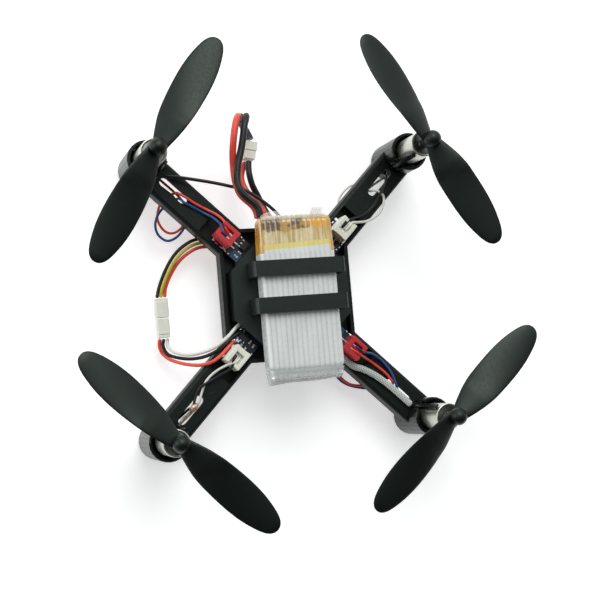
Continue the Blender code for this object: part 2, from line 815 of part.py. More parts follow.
def flight_board(parts, tools):
    outline = cross_outline(BOARD_HALF, LOBE_HALF, LOBE_REACH)
    board = flat_solid("flight_board", outline, BOARD_BOTTOM, BOARD_TOP, parts)
    inner = CONNECTOR_CENTRE - CONNECTOR_HALF_LENGTH
    outer = CONNECTOR_CENTRE + CONNECTOR_HALF_LENGTH
    for name, azimuth in CORNERS.items():
        header = block(f"{name}_header", (inner, -CONNECTOR_HALF_WIDTH, BOARD_TOP - 0.0002),
                       (outer, CONNECTOR_HALF_WIDTH, HEADER_TOP), tools)
        header.rotation_euler.z = math.radians(azimuth)
        join(board, header)
    sink = BOARD_TOP - 0.0001
    join(board, block("processor", (-0.0035, -0.0035, sink), (0.0035, 0.0035, 0.0049), tools))
    join(board, block("gyro", (-0.0012, 0.0055, sink), (0.0018, 0.0085, 0.0048), tools))
    join(board, block("regulator", (-0.0065, -0.0095, sink), (-0.003, -0.0065, 0.0052), tools))
    for number, centre in enumerate(screw_centres()):
        cut(board, cylinder(f"board_hole_{number}", 0.002, 0.002, 0.005, centre, tools, 16))
    return finish_with(board, "board_blue")


def battery_cage(parts, tools):
    far, flat = CAGE_HALF, CAGE_FLAT_HALF
    octagon = [(far, -flat), (far, flat), (flat, far), (-flat, far)]
    octagon += [(-far, flat), (-far, -flat), (-flat, -far), (flat, -far)]
    cage = flat_solid("battery_cage", octagon, CAGE_PLATE_BOTTOM, CAGE_PLATE_TOP, parts)
    for number, azimuth in enumerate((0, 90, 180, 270)):
        skirt = block(f"skirt_{number}", (far - WALL, -flat, CAGE_BOTTOM), (far, flat, CAGE_PLATE_BOTTOM + 0.0003), tools)
        skirt.rotation_euler.z = math.radians(azimuth)
        join(cage, skirt)
    for number, (low, high) in enumerate(STRAP_BANDS):
        join(cage, flat_solid(f"strap_{number}", strap_outline(), -high, -low, tools, UPRIGHT))
    for number, centre in enumerate(screw_centres()):
        join(cage, cylinder(f"post_{number}", CAGE_POST_RADIUS, CAGE_BOTTOM, 0.0075, centre, tools, 16))
        cut(cage, cylinder(f"post_bore_{number}", SCREW_BORE, 0.001, 0.0058, centre, tools, 12))
    cut(cage, block("wire_notch_front", *WIRE_NOTCH, tools))
    return finish_with(cage, "black_nylon")


def strap_outline():
    """The strap's section across the battery: a flat band with a post at each end."""
    foot = CAGE_PLATE_TOP - 0.0003
    corner = 0.001
    outline = [(STRAP_LEFT + STRAP_THICKNESS, foot), (STRAP_LEFT + STRAP_THICKNESS, STRAP_UNDERSIDE)]
    outline += [(STRAP_RIGHT - STRAP_THICKNESS, STRAP_UNDERSIDE), (STRAP_RIGHT - STRAP_THICKNESS, foot)]
    outline.append((STRAP_RIGHT, foot))
    outline += arc((STRAP_RIGHT - corner, STRAP_TOP - corner), corner, 0, 90, 3)
    outline += arc((STRAP_LEFT + corner, STRAP_TOP - corner), corner, 90, 180, 3)
    outline.append((STRAP_LEFT, foot))
    return outline


def cage_screws(parts):
    profile = [(0, 0.005), (0.0006, 0.005), (0.0006, 0.0007), (0.00125, 0.0007), (0.00125, 0.0003), (0.0009, 0.0001), (0, 0.0001)]
    for number, (x, y) in enumerate(screw_centres(), start=1):
        screw = turned(f"cage_screw_{number}", profile, 12, parts)
        screw.location = (x, y, 0)
        finish_with(screw, "screw_black")


def battery(parts, tools):
    inset = WRAP_THICKNESS + GAP
    cell = block("battery_cell", (BATTERY_LEFT + inset, BATTERY_REAR + 0.0006, BATTERY_BOTTOM + inset),
                 (BATTERY_RIGHT - inset, WRAP_FRONT, BATTERY_TOP - inset), parts)
    finish_with(soften(cell, 0.0006), "pouch_silver")

    wrap = block("battery_wrap", (BATTERY_LEFT, BATTERY_REAR, BATTERY_BOTTOM), (BATTERY_RIGHT, WRAP_FRONT, BATTERY_TOP), parts)
    cut(wrap, block("wrap_inside", (BATTERY_LEFT + WRAP_THICKNESS, -0.03, BATTERY_BOTTOM + WRAP_THICKNESS),
                    (BATTERY_RIGHT - WRAP_THICKNESS, 0.03, BATTERY_TOP - WRAP_THICKNESS), tools))
    finish_with(wrap, "clear_tape")

    cap = block("battery_cap", (BATTERY_LEFT + 0.0001, WRAP_FRONT + GAP, BATTERY_BOTTOM + 0.0001),
                (BATTERY_RIGHT - 0.0001, BATTERY_FRONT, BATTERY_TOP - 0.0001), parts)
    finish_with(soften(cap, 0.0005), "amber_tape")


# Connectors and radio receiver

def motor_plugs(parts):
    for name, azimuth in CORNERS.items():
        inner = CONNECTOR_CENTRE - CONNECTOR_HALF_LENGTH
        outer = CONNECTOR_CENTRE + CONNECTOR_HALF_LENGTH
        plug = block(f"motor_plug_{name}", (inner, -CONNECTOR_HALF_WIDTH, HEADER_TOP + GAP),
                     (outer, CONNECTOR_HALF_WIDTH, PLUG_TOP), parts)
        plug.rotation_euler.z = math.radians(azimuth)
        finish_with(soften(plug, 0.0002), "plug_red" if name in PROP_CLOCKWISE else "plug_white")


def battery_connector(parts):
    """The battery's plug, and the socket on the board's supply leads, seen edge-on from above."""
    lean = math.radians(-11.6)
    pieces = {
        "battery_plug": ((-0.0073, 0.0400, 0.0044), (0.0032, 0.0024, 0.0050)),
        "supply_socket": ((-0.0078, 0.0375, 0.0044), (0.0029, 0.0020, 0.0046)),
    }
    for name, (centre, size) in pieces.items():
        half = Vector(size) / 2
        piece = block(name, -half, half, parts)
        piece.location = centre
        piece.rotation_euler.z = lean
        finish_with(soften(piece, 0.0003), "plug_white")


def receiver(parts):
    module = block("receiver_module", (-0.0092, 0.004, -0.0039), (0.0092, 0.015, -GAP), parts)
    finish_with(soften(module, 0.0004), "black")
    plug = block("receiver_plug", (-0.0351, -0.0039, -0.004), (-0.0317, 0.0012, -0.001), parts)
    finish_with(soften(plug, 0.0002), "plug_white")
    socket = block("receiver_socket", (-0.035, -0.0093, -0.0041), (-0.0318, -0.0042, -0.0009), parts)
    finish_with(soften(socket, 0.0002), "plug_white")


def loose_wires(parts):
    colours = {"lead_sleeve": "black", "antenna_wire": "black", "antenna_sleeve": "white"}
    for name, (diameter, route) in ROUTES.items():
        colour = colours.get(name, name.split("_")[-1])
        wire(name, route, diameter, colour, parts, spacing=1.5 if diameter > SIGNAL_WIRE else 3)


def motor_wires(parts):
    for corner, routes in MOTOR_ROUTES.items():
        for side, (colour, route) in zip((1, -1), routes.items()):
            way = [(distance, side * offset, height) for distance, offset, height in POD_WAY]
            points = [along_arm(CORNERS[corner], *point) for point in (*route, *way)]
            wire(f"motor_wire_{corner}_{colour}", points, MOTOR_WIRE, colour, parts)


# Motors and propellers

def motor(corner, parts):
    azimuth = CORNERS[corner]
    axis = along_arm(azimuth, MOTOR_REACH, 0, 0)

    rim = [(BEARING_RADIUS, CAN_TOP - 0.0004), (BEARING_RADIUS, CAN_TOP - 0.0002), (0.0028, CAN_TOP - 0.0002)]
    can_profile = [(CAN_BORE, CAN_BOTTOM), (CAN_BORE, CAN_TOP - 0.0004), *rim, (0.003, CAN_TOP)]
    can_profile += [(CAN_RADIUS - 0.0002, CAN_TOP), (CAN_RADIUS, CAN_TOP - 0.0002), (CAN_RADIUS, CAN_BOTTOM)]
    can = turned(f"motor_can_{corner}", can_profile, 20, parts, closed=True)
    finish_with(can, "motor_steel")

    cap_profile = [(0, 0.0012), (BEARING_RADIUS, 0.0012), (BEARING_RADIUS, 0.0024), (0.0029, 0.0024), (0.0029, 0.0007)]
    cap_profile += [(CAN_RADIUS, 0.0007), (CAN_RADIUS, 0.0004), (0, 0.0004)]
    cap = turned(f"brush_cap_{corner}", cap_profile, 12, parts)
    finish_with(cap, "plug_white")

    magnet_profile = [(MAGNET_BORE, 0.0054), (MAGNET_BORE, 0.02), (MAGNET_RADIUS, 0.02), (MAGNET_RADIUS, 0.0054)]
    magnet = turned(f"magnet_{corner}", magnet_profile, 12, parts, closed=True)
    finish_with(magnet, "magnet_grey")

    floor = COIL_BOTTOM + 0.0006
    rotor_profile = [(0, 0.0249), (SHAFT_RADIUS, 0.0249), (SHAFT_RADIUS, floor), (COIL_BORE, floor), (COIL_BORE, COIL_TOP)]
    rotor_profile += [(COIL_RADIUS, COIL_TOP), (COIL_RADIUS, COIL_BOTTOM), (0.0009, COIL_BOTTOM), (0.0009, 0.0028)]
    rotor_profile += [(SHAFT_RADIUS, 0.0028), (SHAFT_RADIUS, 0.0015), (0, 0.0015)]
    rotor = turned(f"rotor_{corner}", rotor_profile, 12, parts)
    finish_with(rotor, "copper_coil")

    for piece in (can, cap, magnet, rotor):
        piece.location = axis


def blade(name, clockwise, tools):
    """One blade along +X, lofted through its sections and closed at both ends."""
    bm = bmesh.new()
    lead = -1 if clockwise else 1
    rings = []
    for radius, half_seen in BLADE_OUTLINE:
        pitch = min(PROP_ROOT_ANGLE, math.atan(PROP_PITCH / (2 * math.pi * radius)))
        half = half_seen / math.cos(pitch)
        thickness = 0.00105 - 0.0005 * radius / PROP_RADIUS
        ring = []
        for step in range(8):
            angle = 2 * math.pi * (step + 0.5) / 8
            chord = half * math.cos(angle) / math.cos(math.pi / 8)
            camber = 0.06 * half * (1 - (chord / half) ** 2)
            lift = thickness / 2 * math.sin(angle) + camber
            across = lead * (chord * math.cos(pitch) - lift * math.sin(pitch))
            ring.append(bm.verts.new((radius, across, chord * math.sin(pitch) + lift * math.cos(pitch))))
        rings.append(ring)
    for near, far in zip(rings, rings[1:]):
        for step in range(8):
            following = (step + 1) % 8
            bm.faces.new((near[step], near[following], far[following], far[step]))
    bm.faces.new(rings[0])
    bm.faces.new(rings[-1])
    bmesh.ops.recalc_face_normals(bm, faces=bm.faces)
    return object_from(bm, name, tools)


def propeller(corner, parts, tools):
    axis = along_arm(CORNERS[corner], MOTOR_REACH, 0, 0)
    plane = PROP_PLANE
    dome = [(0, HUB_TOP), (0.0011, HUB_TOP - 0.0002), (0.0018, HUB_TOP - 0.0009), (HUB_RADIUS - 0.0001, HUB_TOP - 0.002)]
    hub_profile = [*dome, (HUB_RADIUS, HUB_BOTTOM + 0.0003), (HUB_RADIUS - 0.0003, HUB_BOTTOM)]
    hub_profile += [(BEARING_RADIUS, HUB_BOTTOM), (BEARING_RADIUS, 0.0253), (0, 0.0253)]
    hub_profile = [(radius, height - plane) for radius, height in hub_profile]
    hub = turned(f"propeller_{corner}", hub_profile, 16, parts)
    for side in (0, 1):
        half = blade(f"blade_{corner}_{side}", corner in PROP_CLOCKWISE, tools)
        half.rotation_euler.z = math.pi * side
        half.parent = hub
        join(hub, half)
    hub.location = (axis.x, axis.y, plane)
    hub.rotation_euler.z = math.radians(PROP_REST[corner])
    finish_with(hub, "prop_black")


def main():
    clear_scene()
    parts = new_collection("mini_palm_drone")
    tools = new_collection("cutters")
    tools.hide_render = True
    frame(parts, tools)
    flight_board(parts, tools)
    battery_cage(parts, tools)
    cage_screws(parts)
    battery(parts, tools)
    motor_plugs(parts)
    battery_connector(parts)
    receiver(parts)
    loose_wires(parts)
    motor_wires(parts)
    for corner in CORNERS:
        motor(corner, parts)
        propeller(corner, parts, tools)


main()
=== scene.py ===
"""Looks for the mini palm drone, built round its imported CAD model.

Units are metres, in the frame of the CAD: the origin on the underside of the frame midway
between the motors, +Y the front and +Z up.
"""

import math

import bmesh
import bpy
from mathutils import Matrix, Vector, noise


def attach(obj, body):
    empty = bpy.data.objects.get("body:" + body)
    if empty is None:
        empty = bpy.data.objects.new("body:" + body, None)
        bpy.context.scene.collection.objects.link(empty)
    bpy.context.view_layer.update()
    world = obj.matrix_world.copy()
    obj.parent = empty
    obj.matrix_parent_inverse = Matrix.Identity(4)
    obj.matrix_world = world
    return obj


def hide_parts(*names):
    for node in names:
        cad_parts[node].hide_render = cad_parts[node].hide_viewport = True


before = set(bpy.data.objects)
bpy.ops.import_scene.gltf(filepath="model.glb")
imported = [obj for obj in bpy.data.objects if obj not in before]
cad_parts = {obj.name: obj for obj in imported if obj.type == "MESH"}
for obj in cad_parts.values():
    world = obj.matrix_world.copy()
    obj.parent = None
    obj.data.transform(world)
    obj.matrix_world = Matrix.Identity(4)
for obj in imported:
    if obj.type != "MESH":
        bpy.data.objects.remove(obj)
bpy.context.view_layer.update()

BODY = "airframe"
CORNERS = {"front_left": 135, "front_right": 45, "rear_left": 225, "rear_right": 315}
CLOCKWISE = {"front_left", "rear_right"}
MOTOR_OFFSET = 0.0364
MOTOR_REACH = MOTOR_OFFSET * math.sqrt(2)
POD_RADIUS = 0.0052

# Camera: its place, its right and up directions, and its lens
CAMERA_PLACE = (-0.09207, -0.02256, 0.32217)
CAMERA_RIGHT = (0.9559, -0.0853, 0.2811)
CAMERA_UP = (0.0642, 0.9945, 0.0833)
CAMERA_LENS = 73.87
FLOOR_HEIGHT = -0.0075
FLOOR_HALF = 10.0

# Propellers: the blades' pitch is the way that one turn would carry them
PROP_RADIUS = 0.0325
PROP_PLANE = 0.0259
PROP_PITCH = 0.031
PROP_ROOT_ANGLE = math.radians(25)
PROP_REST = {"front_left": 57.4, "front_right": 120.2, "rear_left": 133.8, "rear_right": 41.4}
HUB_RADIUS = 0.00228
HUB_CENTRE = 0.0269
# Distance from the hub's axis, and half the blade's width as seen from above
BLADE_OUTLINE = (
    (0.0000, 0.0017), (0.0016, 0.0021), (0.0032, 0.0026), (0.0050, 0.0031), (0.0075, 0.0037),
    (0.0110, 0.0042), (0.0155, 0.0045), (0.0200, 0.00455), (0.0240, 0.00425), (0.0275, 0.0036),
    (0.0300, 0.00285), (0.0315, 0.0020), (0.0323, 0.0010), (0.03248, 0.0002),
)

# Motor cans, with an upper edge curled over their end face, and a groove above the foot
CAN_RADIUS = 0.0035
CAN_BORE = 0.0032
CAN_BOTTOM = 0.001
CAN_TOP = 0.0207
CAN_CURL = 0.00029
CAN_GROOVE = 0.00004
CAN_FACE = 0.02036

# Flight board, and the motor plugs on their headers
BOARD_HALF = 0.01375
BOARD_BOTTOM = 0.003
BOARD_TOP = 0.004
LOBE_HALF = 0.0032
LOBE_REACH = 0.0252
CONNECTOR_CENTRE = 0.023
HALF_LENGTH = 0.0027
HALF_WIDTH = 0.0023
HEADER_TOP = 0.0065
PLUG_TOP = 0.0092
PLUG_WALL = 0.0011
PLUG_CHANNEL = 0.0014
CONTACT_OFFSET = 0.0006
# Tinned lands on both sides of each motor header: distance along the arm, offset, half length,
# half width, height and taper
LANDS = (
    (0.0210, 0.0026, 0.0006, 0.0005, 0.0011, 0.2),
    (0.0245, 0.0026, 0.0005, 0.0005, 0.0006, 0.3),
    (0.0197, 0.0007, 0.0007, 0.0002, 0.0003, 0),
    (0.0190, 0.0007, 0.0004, 0.0004, 0.0004, 0.5),
    (0.0192, 0.00292, 0.00035, 0.00025, 0.00055, 0.3),
    (0.0203, 0.00292, 0.0004, 0.00025, 0.00055, 0.3),
    (0.0217, 0.00292, 0.00055, 0.00025, 0.00055, 0.3),
    (0.0233, 0.00292, 0.0005, 0.00025, 0.00055, 0.3),
    (0.0246, 0.00292, 0.00035, 0.00025, 0.00055, 0.3),
)
LEAD_PLUG_TURN = -11.6

# Battery: the wound pouch, its amber cap and the leads' start inside that, and the tape's filaments and end
WRAP_LOW = (-0.0096, -0.0212, 0.0087)
WRAP_HIGH = (0.0111, 0.0099, 0.0149)
WRAP_EDGE = 0.0013
CAP_FRONT = 0.0200
CAP_LENGTH = 0.0101
LEAD_START = 0.0197
RIB_PITCH = 0.00138
RIB_DEPTH = 0.00014
TAIL_END = -0.0243
FILM_THICKNESS = 0.0001

MOTOR_WIRE = 0.0007
SIGNAL_WIRE = 0.00095
SUPPLY_WIRE = 0.0017
BATTERY_WIRE = 0.0019


def mm(*points):
    """Points given in millimetres, in metres."""
    return [tuple(value / 1000 for value in point) for point in points]


# Diameters and routes of the loose leads and cables, as in the CAD
ROUTES = {
    "battery_lead_black": (BATTERY_WIRE, mm(
        (-8.3, 20.6, 12.9), (-8.7, 22.2, 12.9), (-9.7, 23.6, 12.9), (-11.4, 25.1, 12.8), (-12.8, 26.9, 12.7),
        (-13.5, 29.9, 12.4), (-12.9, 33.8, 12.1), (-11.8, 37.4, 12), (-10.9, 41, 12), (-10.2, 44.3, 11.8),
        (-9.6, 45.9, 11.4), (-9.1, 47.1, 10.4), (-8.8, 47.4, 9.1),
    )),
    "battery_lead_red": (BATTERY_WIRE, mm(
        (-8.3, 20.6, 10.4), (-8.7, 22.2, 10.3), (-9.7, 23.7, 10.2), (-11.3, 25.2, 10.1), (-12.6, 27, 10),
        (-13.4, 30.2, 9.9), (-13.6, 33.8, 10), (-13.8, 37, 11.2), (-13.6, 40.2, 12.2), (-13.1, 42.9, 12.3),
        (-12.6, 44.7, 12), (-12, 46.2, 11.3), (-11.3, 47.2, 10.2), (-11, 47.4, 8.9),
    )),
    "lead_sleeve": (0.003, mm(
        (-9.9, 47.3, 7.8), (-9.7, 47, 6.7), (-9.1, 46.1, 5.6), (-8.2, 44.7, 4.7), (-7.4, 43.1, 4.4),
        (-7.1, 42, 4.4),
    )),
    "supply_lead_black": (SUPPLY_WIRE, mm(
        (-8.2, 36, 5.6), (-8.4, 34, 5.8), (-8.3, 31.8, 6), (-7.6, 29.2, 5.6), (-6.2, 26.6, 4.8),
        (-5, 24, 4.4), (-4, 21.5, 4.9), (-3, 19, 5.8), (-2.6, 16.3, 6), (-2.6, 13.2, 5.2),
    )),
    "supply_lead_red": (SUPPLY_WIRE, mm(
        (-8.4, 36.1, 3.2), (-9.5, 34.2, 3.3), (-10.1, 31.3, 3.8), (-9.3, 27.9, 5.2), (-7.1, 24.6, 6.4),
        (-5.5, 21.8, 6.7), (-4.8, 19, 6.4), (-4.7, 16.3, 6), (-4.6, 13.2, 5.2),
    )),
    "antenna_wire": (0.0009, mm(
        (-0.7, 13.2, 4.8), (-0.7, 16, 6), (-1, 18.6, 7.4), (-2.2, 21.2, 8), (-5.8, 24.6, 8.1),
        (-10.6, 27.9, 7.9), (-14.4, 29.1, 7.6), (-18.6, 30.2, 7.4), (-22.8, 31.1, 7.2), (-27.4, 32.1, 6.4),
        (-31.2, 32.7, 5.6),
    )),
    "antenna_sleeve": (0.0018, mm(
        (10.1, -14.8, 5.4), (11.6, -16.6, 5.4), (13.8, -18.7, 5.5), (16.3, -21, 5.5), (19, -22.1, 5.5),
        (22.4, -24.1, 5.5), (26.1, -27.1, 5.5), (29.2, -30.1, 5.5), (32, -32.9, 5.5),
    )),
    "receiver_wire_black": (SIGNAL_WIRE, mm(
        (-9.6, 13.2, -1.8), (-13.2, 14.6, -1.6), (-17.8, 16.3, -1.3), (-22.5, 16.5, -1.2), (-26.1, 15, -1.4),
        (-29.1, 12.4, -1.8), (-31.5, 8.8, -2.3), (-33.4, 4.7, -2.6), (-34.4, 1.5, -2.5),
    )),
    "receiver_wire_yellow": (SIGNAL_WIRE, mm(
        (-9.6, 12.1, -1.8), (-13, 13.5, -1.6), (-17.6, 15.1, -1.4), (-22, 15.4, -1.1), (-25.5, 14.1, -1),
        (-28.4, 11.7, -1), (-30.8, 8.3, -1.3), (-32.6, 4.6, -1.7), (-33.4, 1.5, -2.5),
    )),
    "receiver_wire_red": (SIGNAL_WIRE, mm(
        (-9.6, 11, -1.8), (-12.8, 12.4, -1.6), (-17.3, 13.9, -1.5), (-21.5, 14.3, -1.3), (-24.8, 13.1, -1.3),
        (-27.7, 10.9, -1.6), (-30.1, 7.7, -2), (-31.8, 4.2, -2.3), (-32.3, 1.5, -2.5),
    )),
    "signal_wire_white": (SIGNAL_WIRE, mm(
        (-32.3, -9.6, -2.5), (-32.5, -11.4, -2.3), (-31.3, -13.2, -1.2), (-28.1, -14.4, 1.4),
        (-24.6, -14.1, 3.6), (-21.4, -13, 5.4), (-17.9, -10.6, 6), (-15.4, -8.3, 5.6), (-13.2, -6.9, 4.9),
    )),
    "signal_wire_black": (SIGNAL_WIRE, mm(
        (-33.4, -9.6, -2.5), (-33.7, -11.6, -2.6), (-32.3, -14, -2.3), (-28.3, -15.4, 0),
        (-24.6, -15.4, 2.6), (-21.4, -14.3, 4.9), (-18.4, -12.2, 5.5), (-15.7, -10.3, 5.1),
        (-13.4, -9.2, 4.9),
    )),
    "signal_wire_red": (SIGNAL_WIRE, mm(
        (-34.5, -9.6, -2.5), (-34.6, -11.6, -3.1), (-33.7, -13.7, -3.3), (-31.9, -15.4, -1.9),
        (-28.8, -16.8, 1), (-25.6, -17.4, 3.8), (-22.9, -17, 5.4), (-20.4, -15.6, 5.6), (-18, -13.5, 5.3),
        (-16.1, -11.8, 4.9),
    )),
}
# Real lengths of the loose ones that are cords, and what is on their far ends
CORDS = {
    "battery_lead_black": (0.0316, "connector"),
    "battery_lead_red": (0.0320, "connector"),
    "antenna_wire": (0.0411, "bare"),
    "receiver_wire_black": (0.0337, "connector"),
    "receiver_wire_yellow": (0.0322, "connector"),
    "receiver_wire_red": (0.0304, "connector"),
}

# Real lengths of the motor wires, and their routes, as distance along the arm, offset to its left, and
# height. The first of each pair leaves the left side of its plug. All end on the shared way through the
# pod, mirrored for the second of each pair.
MOTOR_ROUTES = {
    "front_left_blue": (0.0630, mm(
        (26, -0.9, 7.6), (28.5, -1.3, 6.1), (31.2, -0.8, 5.1), (34.5, 0, 5.1), (36.9, 0.6, 5.1),
        (38.3, 0.5, 4.4), (38.7, 0.4, 2.8), (39.2, 1.5, 1), (39.8, 3.2, -1), (39.7, 6.3, -1.5),
        (38.4, 8.8, -2), (36.1, 10.2, -2.3), (33.4, 9.9, -2.2), (32.1, 7.8, -1.8), (32.1, 4.8, -1.3),
        (33.2, 2.2, -0.8), (36, 1.2, 0.2), (40, 0.4, 0.8),
    )),
    "front_left_red": (0.0621, mm(
        (26, -2.2, 7.6), (28.5, -2.5, 6.1), (31.2, -2, 5.1), (34.2, -1.2, 5.1), (37.3, -0.7, 5.2),
        (39.4, -0.3, 4.7), (40.2, -0.2, 3.2), (40.8, 1, 1.2), (41.3, 3, -0.8), (40.3, 5.4, -2.4),
        (38.6, 7.2, -3.1), (35.8, 8, -3.4), (33.7, 7.3, -3.3), (32.7, 5.2, -3), (33, 2.5, -2.4),
        (35, 0, -1.4), (38.5, -0.8, 0.2),
    )),
    "front_right_black": (0.0341, mm(
        (26, 0.3, 7.6), (28.5, -1, 6.3), (31.2, -2.3, 5.2), (34.2, -2.7, 5.1), (36.8, -2.3, 5.5),
        (38.5, -1.9, 5.9), (40.3, -1.6, 5.3), (41.8, -1.2, 5.2), (43.2, -0.5, 5), (43.9, -0.2, 4),
        (44.2, 0.1, 2.4),
    )),
    "front_right_white": (0.0612, mm(
        (26, -0.8, 7.6), (27.5, -2.1, 6.6), (30, -4.1, 5.7), (33.5, -5.2, 5.5), (36.6, -4.7, 5.3),
        (38.5, -3.4, 5.1), (38.8, -2.1, 5), (38.5, -0.8, 5.1), (38, 0, 4.4), (37.8, 0.3, 2.9),
        (37.7, 1.4, 1), (38.2, 3.2, -1), (37.1, 4.6, -1.5), (34.7, 5.2, -1.6), (31.9, 5, -1.6),
        (30.5, 4, -1.5), (31, 2, -1.2), (34, 1, -0.4), (39, 0.7, 0.6),
    )),
    "rear_left_white": (0.0322, mm(
        (26, -0.6, 7.6), (28.5, -1.5, 6), (31, -1.9, 5.1), (33.2, -1.8, 5), (35, -1.2, 5), (36.6, -0.5, 5.1),
        (38.2, 0.2, 5), (39.4, 0.4, 4.6), (40.2, 0.5, 3.8), (40.7, 0.6, 2.8), (42.2, 0.7, 1.8),
    )),
    "rear_left_black": (0.0328, mm(
        (26, 0.6, 7.6), (29, -0.2, 6), (31.3, -0.9, 5.4), (33.3, -1.7, 5.9), (35.2, -2.1, 5.4),
        (37.4, -1.5, 5.1), (39.4, -0.6, 5.1), (40.5, -0.3, 4.3), (41, -0.4, 2.8),
    )),
    "rear_right_blue": (0.0761, mm(
        (26, 1.1, 7.6), (28.1, 2.4, 6.5), (31.2, 3.1, 5.3), (33.6, 3, 5.1), (35.8, 2.5, 5.1),
        (37.6, 1.7, 5.1), (39, 0.9, 5.2), (40, 0.4, 4.8), (40.6, 0.4, 3.8), (40.8, 0.5, 2.2),
        (40.8, 0.6, 0.4), (40.2, 0.3, -1.3), (38.9, -0.8, -2), (36.6, -2.6, -2.4), (34, -4.5, -2.7),
        (30.9, -6.2, -2.8), (27.9, -6.8, -2.8), (24.9, -6, -2.8), (23.8, -3.6, -2.7), (26, -1.2, -2.6),
        (30.2, 0.4, -2.3), (35.2, 1.2, -1.7), (39.6, 1.4, -0.8), (42.2, 0.8, 0.1),
    )),
    "rear_right_red": (0.0669, mm(
        (26, -0.1, 7.6), (28.5, 0.6, 5.8), (31, 1.1, 5), (34.5, 1.3, 5.1), (37, 1, 5.1), (38.4, 0.7, 4.4),
        (38.7, 0.4, 2.8), (37.6, -0.8, 0.6), (35.2, -2.6, -1), (33.2, -4.4, -1.5), (30.7, -6, -1.8),
        (27.5, -6.3, -1.9), (25, -5, -1.6), (25, -2.5, -1.2), (28, -0.8, -1), (33, -0.2, -0.6),
        (38, -0.6, 0),
    )),
}
POD_WAY = mm((44.8, 0.7, 0.8), (46.6, 0.7, 0.2), (48.3, 0.7, -1), (49.6, 0.8, -1.2), (50.4, 0.9, -0.3),
             (50.4, 0.9, 0.1))


# Geometry helpers

def placed(name, data):
    """New object in the scene."""
    obj = bpy.data.objects.new(name, data)
    bpy.context.scene.collection.objects.link(obj)
    return obj


def show(name, bm, look, slot, body=BODY, cad=True, angle=40):
    """Makes a smooth-shaded piece that rides on a body and may stand for the CAD node of its name."""
    mesh = bpy.data.meshes.new(name)
    bmesh.ops.recalc_face_normals(bm, faces=bm.faces)
    bm.to_mesh(mesh)
    bm.free()
    mesh.shade_smooth()
    mesh.set_sharp_from_angle(angle=math.radians(angle))
    mesh.materials.append(look)
    obj = placed(name, mesh)
    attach(obj, body)
    if cad:
        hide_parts(name)
    return obj


def bevel(obj, width, segments=2, angle=40):
    """Rounds a piece's sharp edges."""
    modifier = obj.modifiers.new("edges", "BEVEL")
    modifier.width = width
    modifier.segments = segments
    modifier.limit_method = "ANGLE"
    modifier.angle_limit = math.radians(angle)
    modifier.harden_normals = True


def add_box(bm, low, high, place=None, taper=0):
    """Box between two corners, narrowed towards its top by the taper, then put in place."""
    low, high = Vector(low), Vector(high)
    verts = bmesh.ops.create_cube(bm, size=1)["verts"]
    for vert in verts:
        share = 1 - taper * (vert.co.z + 0.5)
        vert.co.x *= share
        vert.co.y *= share
    bmesh.ops.scale(bm, vec=high - low, verts=verts)
    bmesh.ops.translate(bm, vec=(low + high) / 2, verts=verts)
    if place:
        bmesh.ops.transform(bm, matrix=place, verts=verts)


def add_turned(bm, profile, segments, place=None, closed=False):
    """Surface of revolution about Z through (radius, height) points."""
    rings = []
    for radius, height in profile:
        if radius == 0:
            rings.append([bm.verts.new((0, 0, height))] * segments)
            continue
        ring = [(radius * math.cos(turn), radius * math.sin(turn), height) for turn in turns(segments)]
        rings.append([bm.verts.new(point) for point in ring])
    pairs = list(zip(rings, rings[1:]))
    if closed:
        pairs.append((rings[-1], rings[0]))
    for one, other in pairs:
        for step in range(segments):
            after = (step + 1) % segments
            corners = list(dict.fromkeys((one[step], one[after], other[after], other[step])))
            if len(corners) > 2:
                bm.faces.new(corners)
    if place:
        used = list(dict.fromkeys(vert for ring in rings for vert in ring))
        bmesh.ops.transform(bm, matrix=place, verts=used)


def add_loft(bm, rings):
    """Skin over rings of points, closed at both ends."""
    made = [[bm.verts.new(point) for point in ring] for ring in rings]
    count = len(made[0])
    for one, other in zip(made, made[1:]):
        for step in range(count):
            after = (step + 1) % count
            bm.faces.new((one[step], one[after], other[after], other[step]))
    bm.faces.new(made[0])
    bm.faces.new(made[-1])


def lofted(name, rings, look, slot, **settings):
    """A piece skinned over rings of points."""
    bm = bmesh.new()
    add_loft(bm, rings)
    return show(name, bm, look, slot, **settings)


def smooth_route(route, spacing):
    """Evenly spaced points on a smooth curve through the route's points."""
    points = [Vector(point) for point in route]
    points = [points[0] * 2 - points[1], *points, points[-1] * 2 - points[-2]]
    fine = []
    for a, b, c, d in zip(points, points[1:], points[2:], points[3:]):
        for step in range(12):
            t = step / 12
            squared = (2 * a - 5 * b + 4 * c - d) * t**2
            cubed = (3 * b - a - 3 * c + d) * t**3
            fine.append(0.5 * (2 * b + (c - a) * t + squared + cubed))
    fine.append(points[-2])
    travel = [0.0]
    for start, end in zip(fine, fine[1:]):
        travel.append(travel[-1] + (end - start).length)
    count = max(round(travel[-1] / spacing), 3)
    even = []
    place = 0
    for step in range(count + 1):
        target = travel[-1] * step / count
        while place < len(fine) - 2 and travel[place + 1] < target:
            place += 1
        part = (target - travel[place]) / (travel[place + 1] - travel[place])
        even.append(fine[place].lerp(fine[place + 1], min(part, 1)))
    return even


def drift(x, y, z):
    """Smooth noise at a point, the same at each run."""
    return noise.noise(Vector((x, y, z)))


def turns(count):
    """Equal angles round a full turn."""
    return [2 * math.pi * step / count for step in range(count)]


def eased(distance, reach):
    """Inset of a rounded end at a distance in from it."""
    left = max(1 - distance / reach, 0)
    return reach * (1 - math.sqrt(max(1 - left * left, 0)))


def route_length(points):
    """Length of a line of points."""
    return sum((end - start).length for start, end in zip(points, points[1:]))


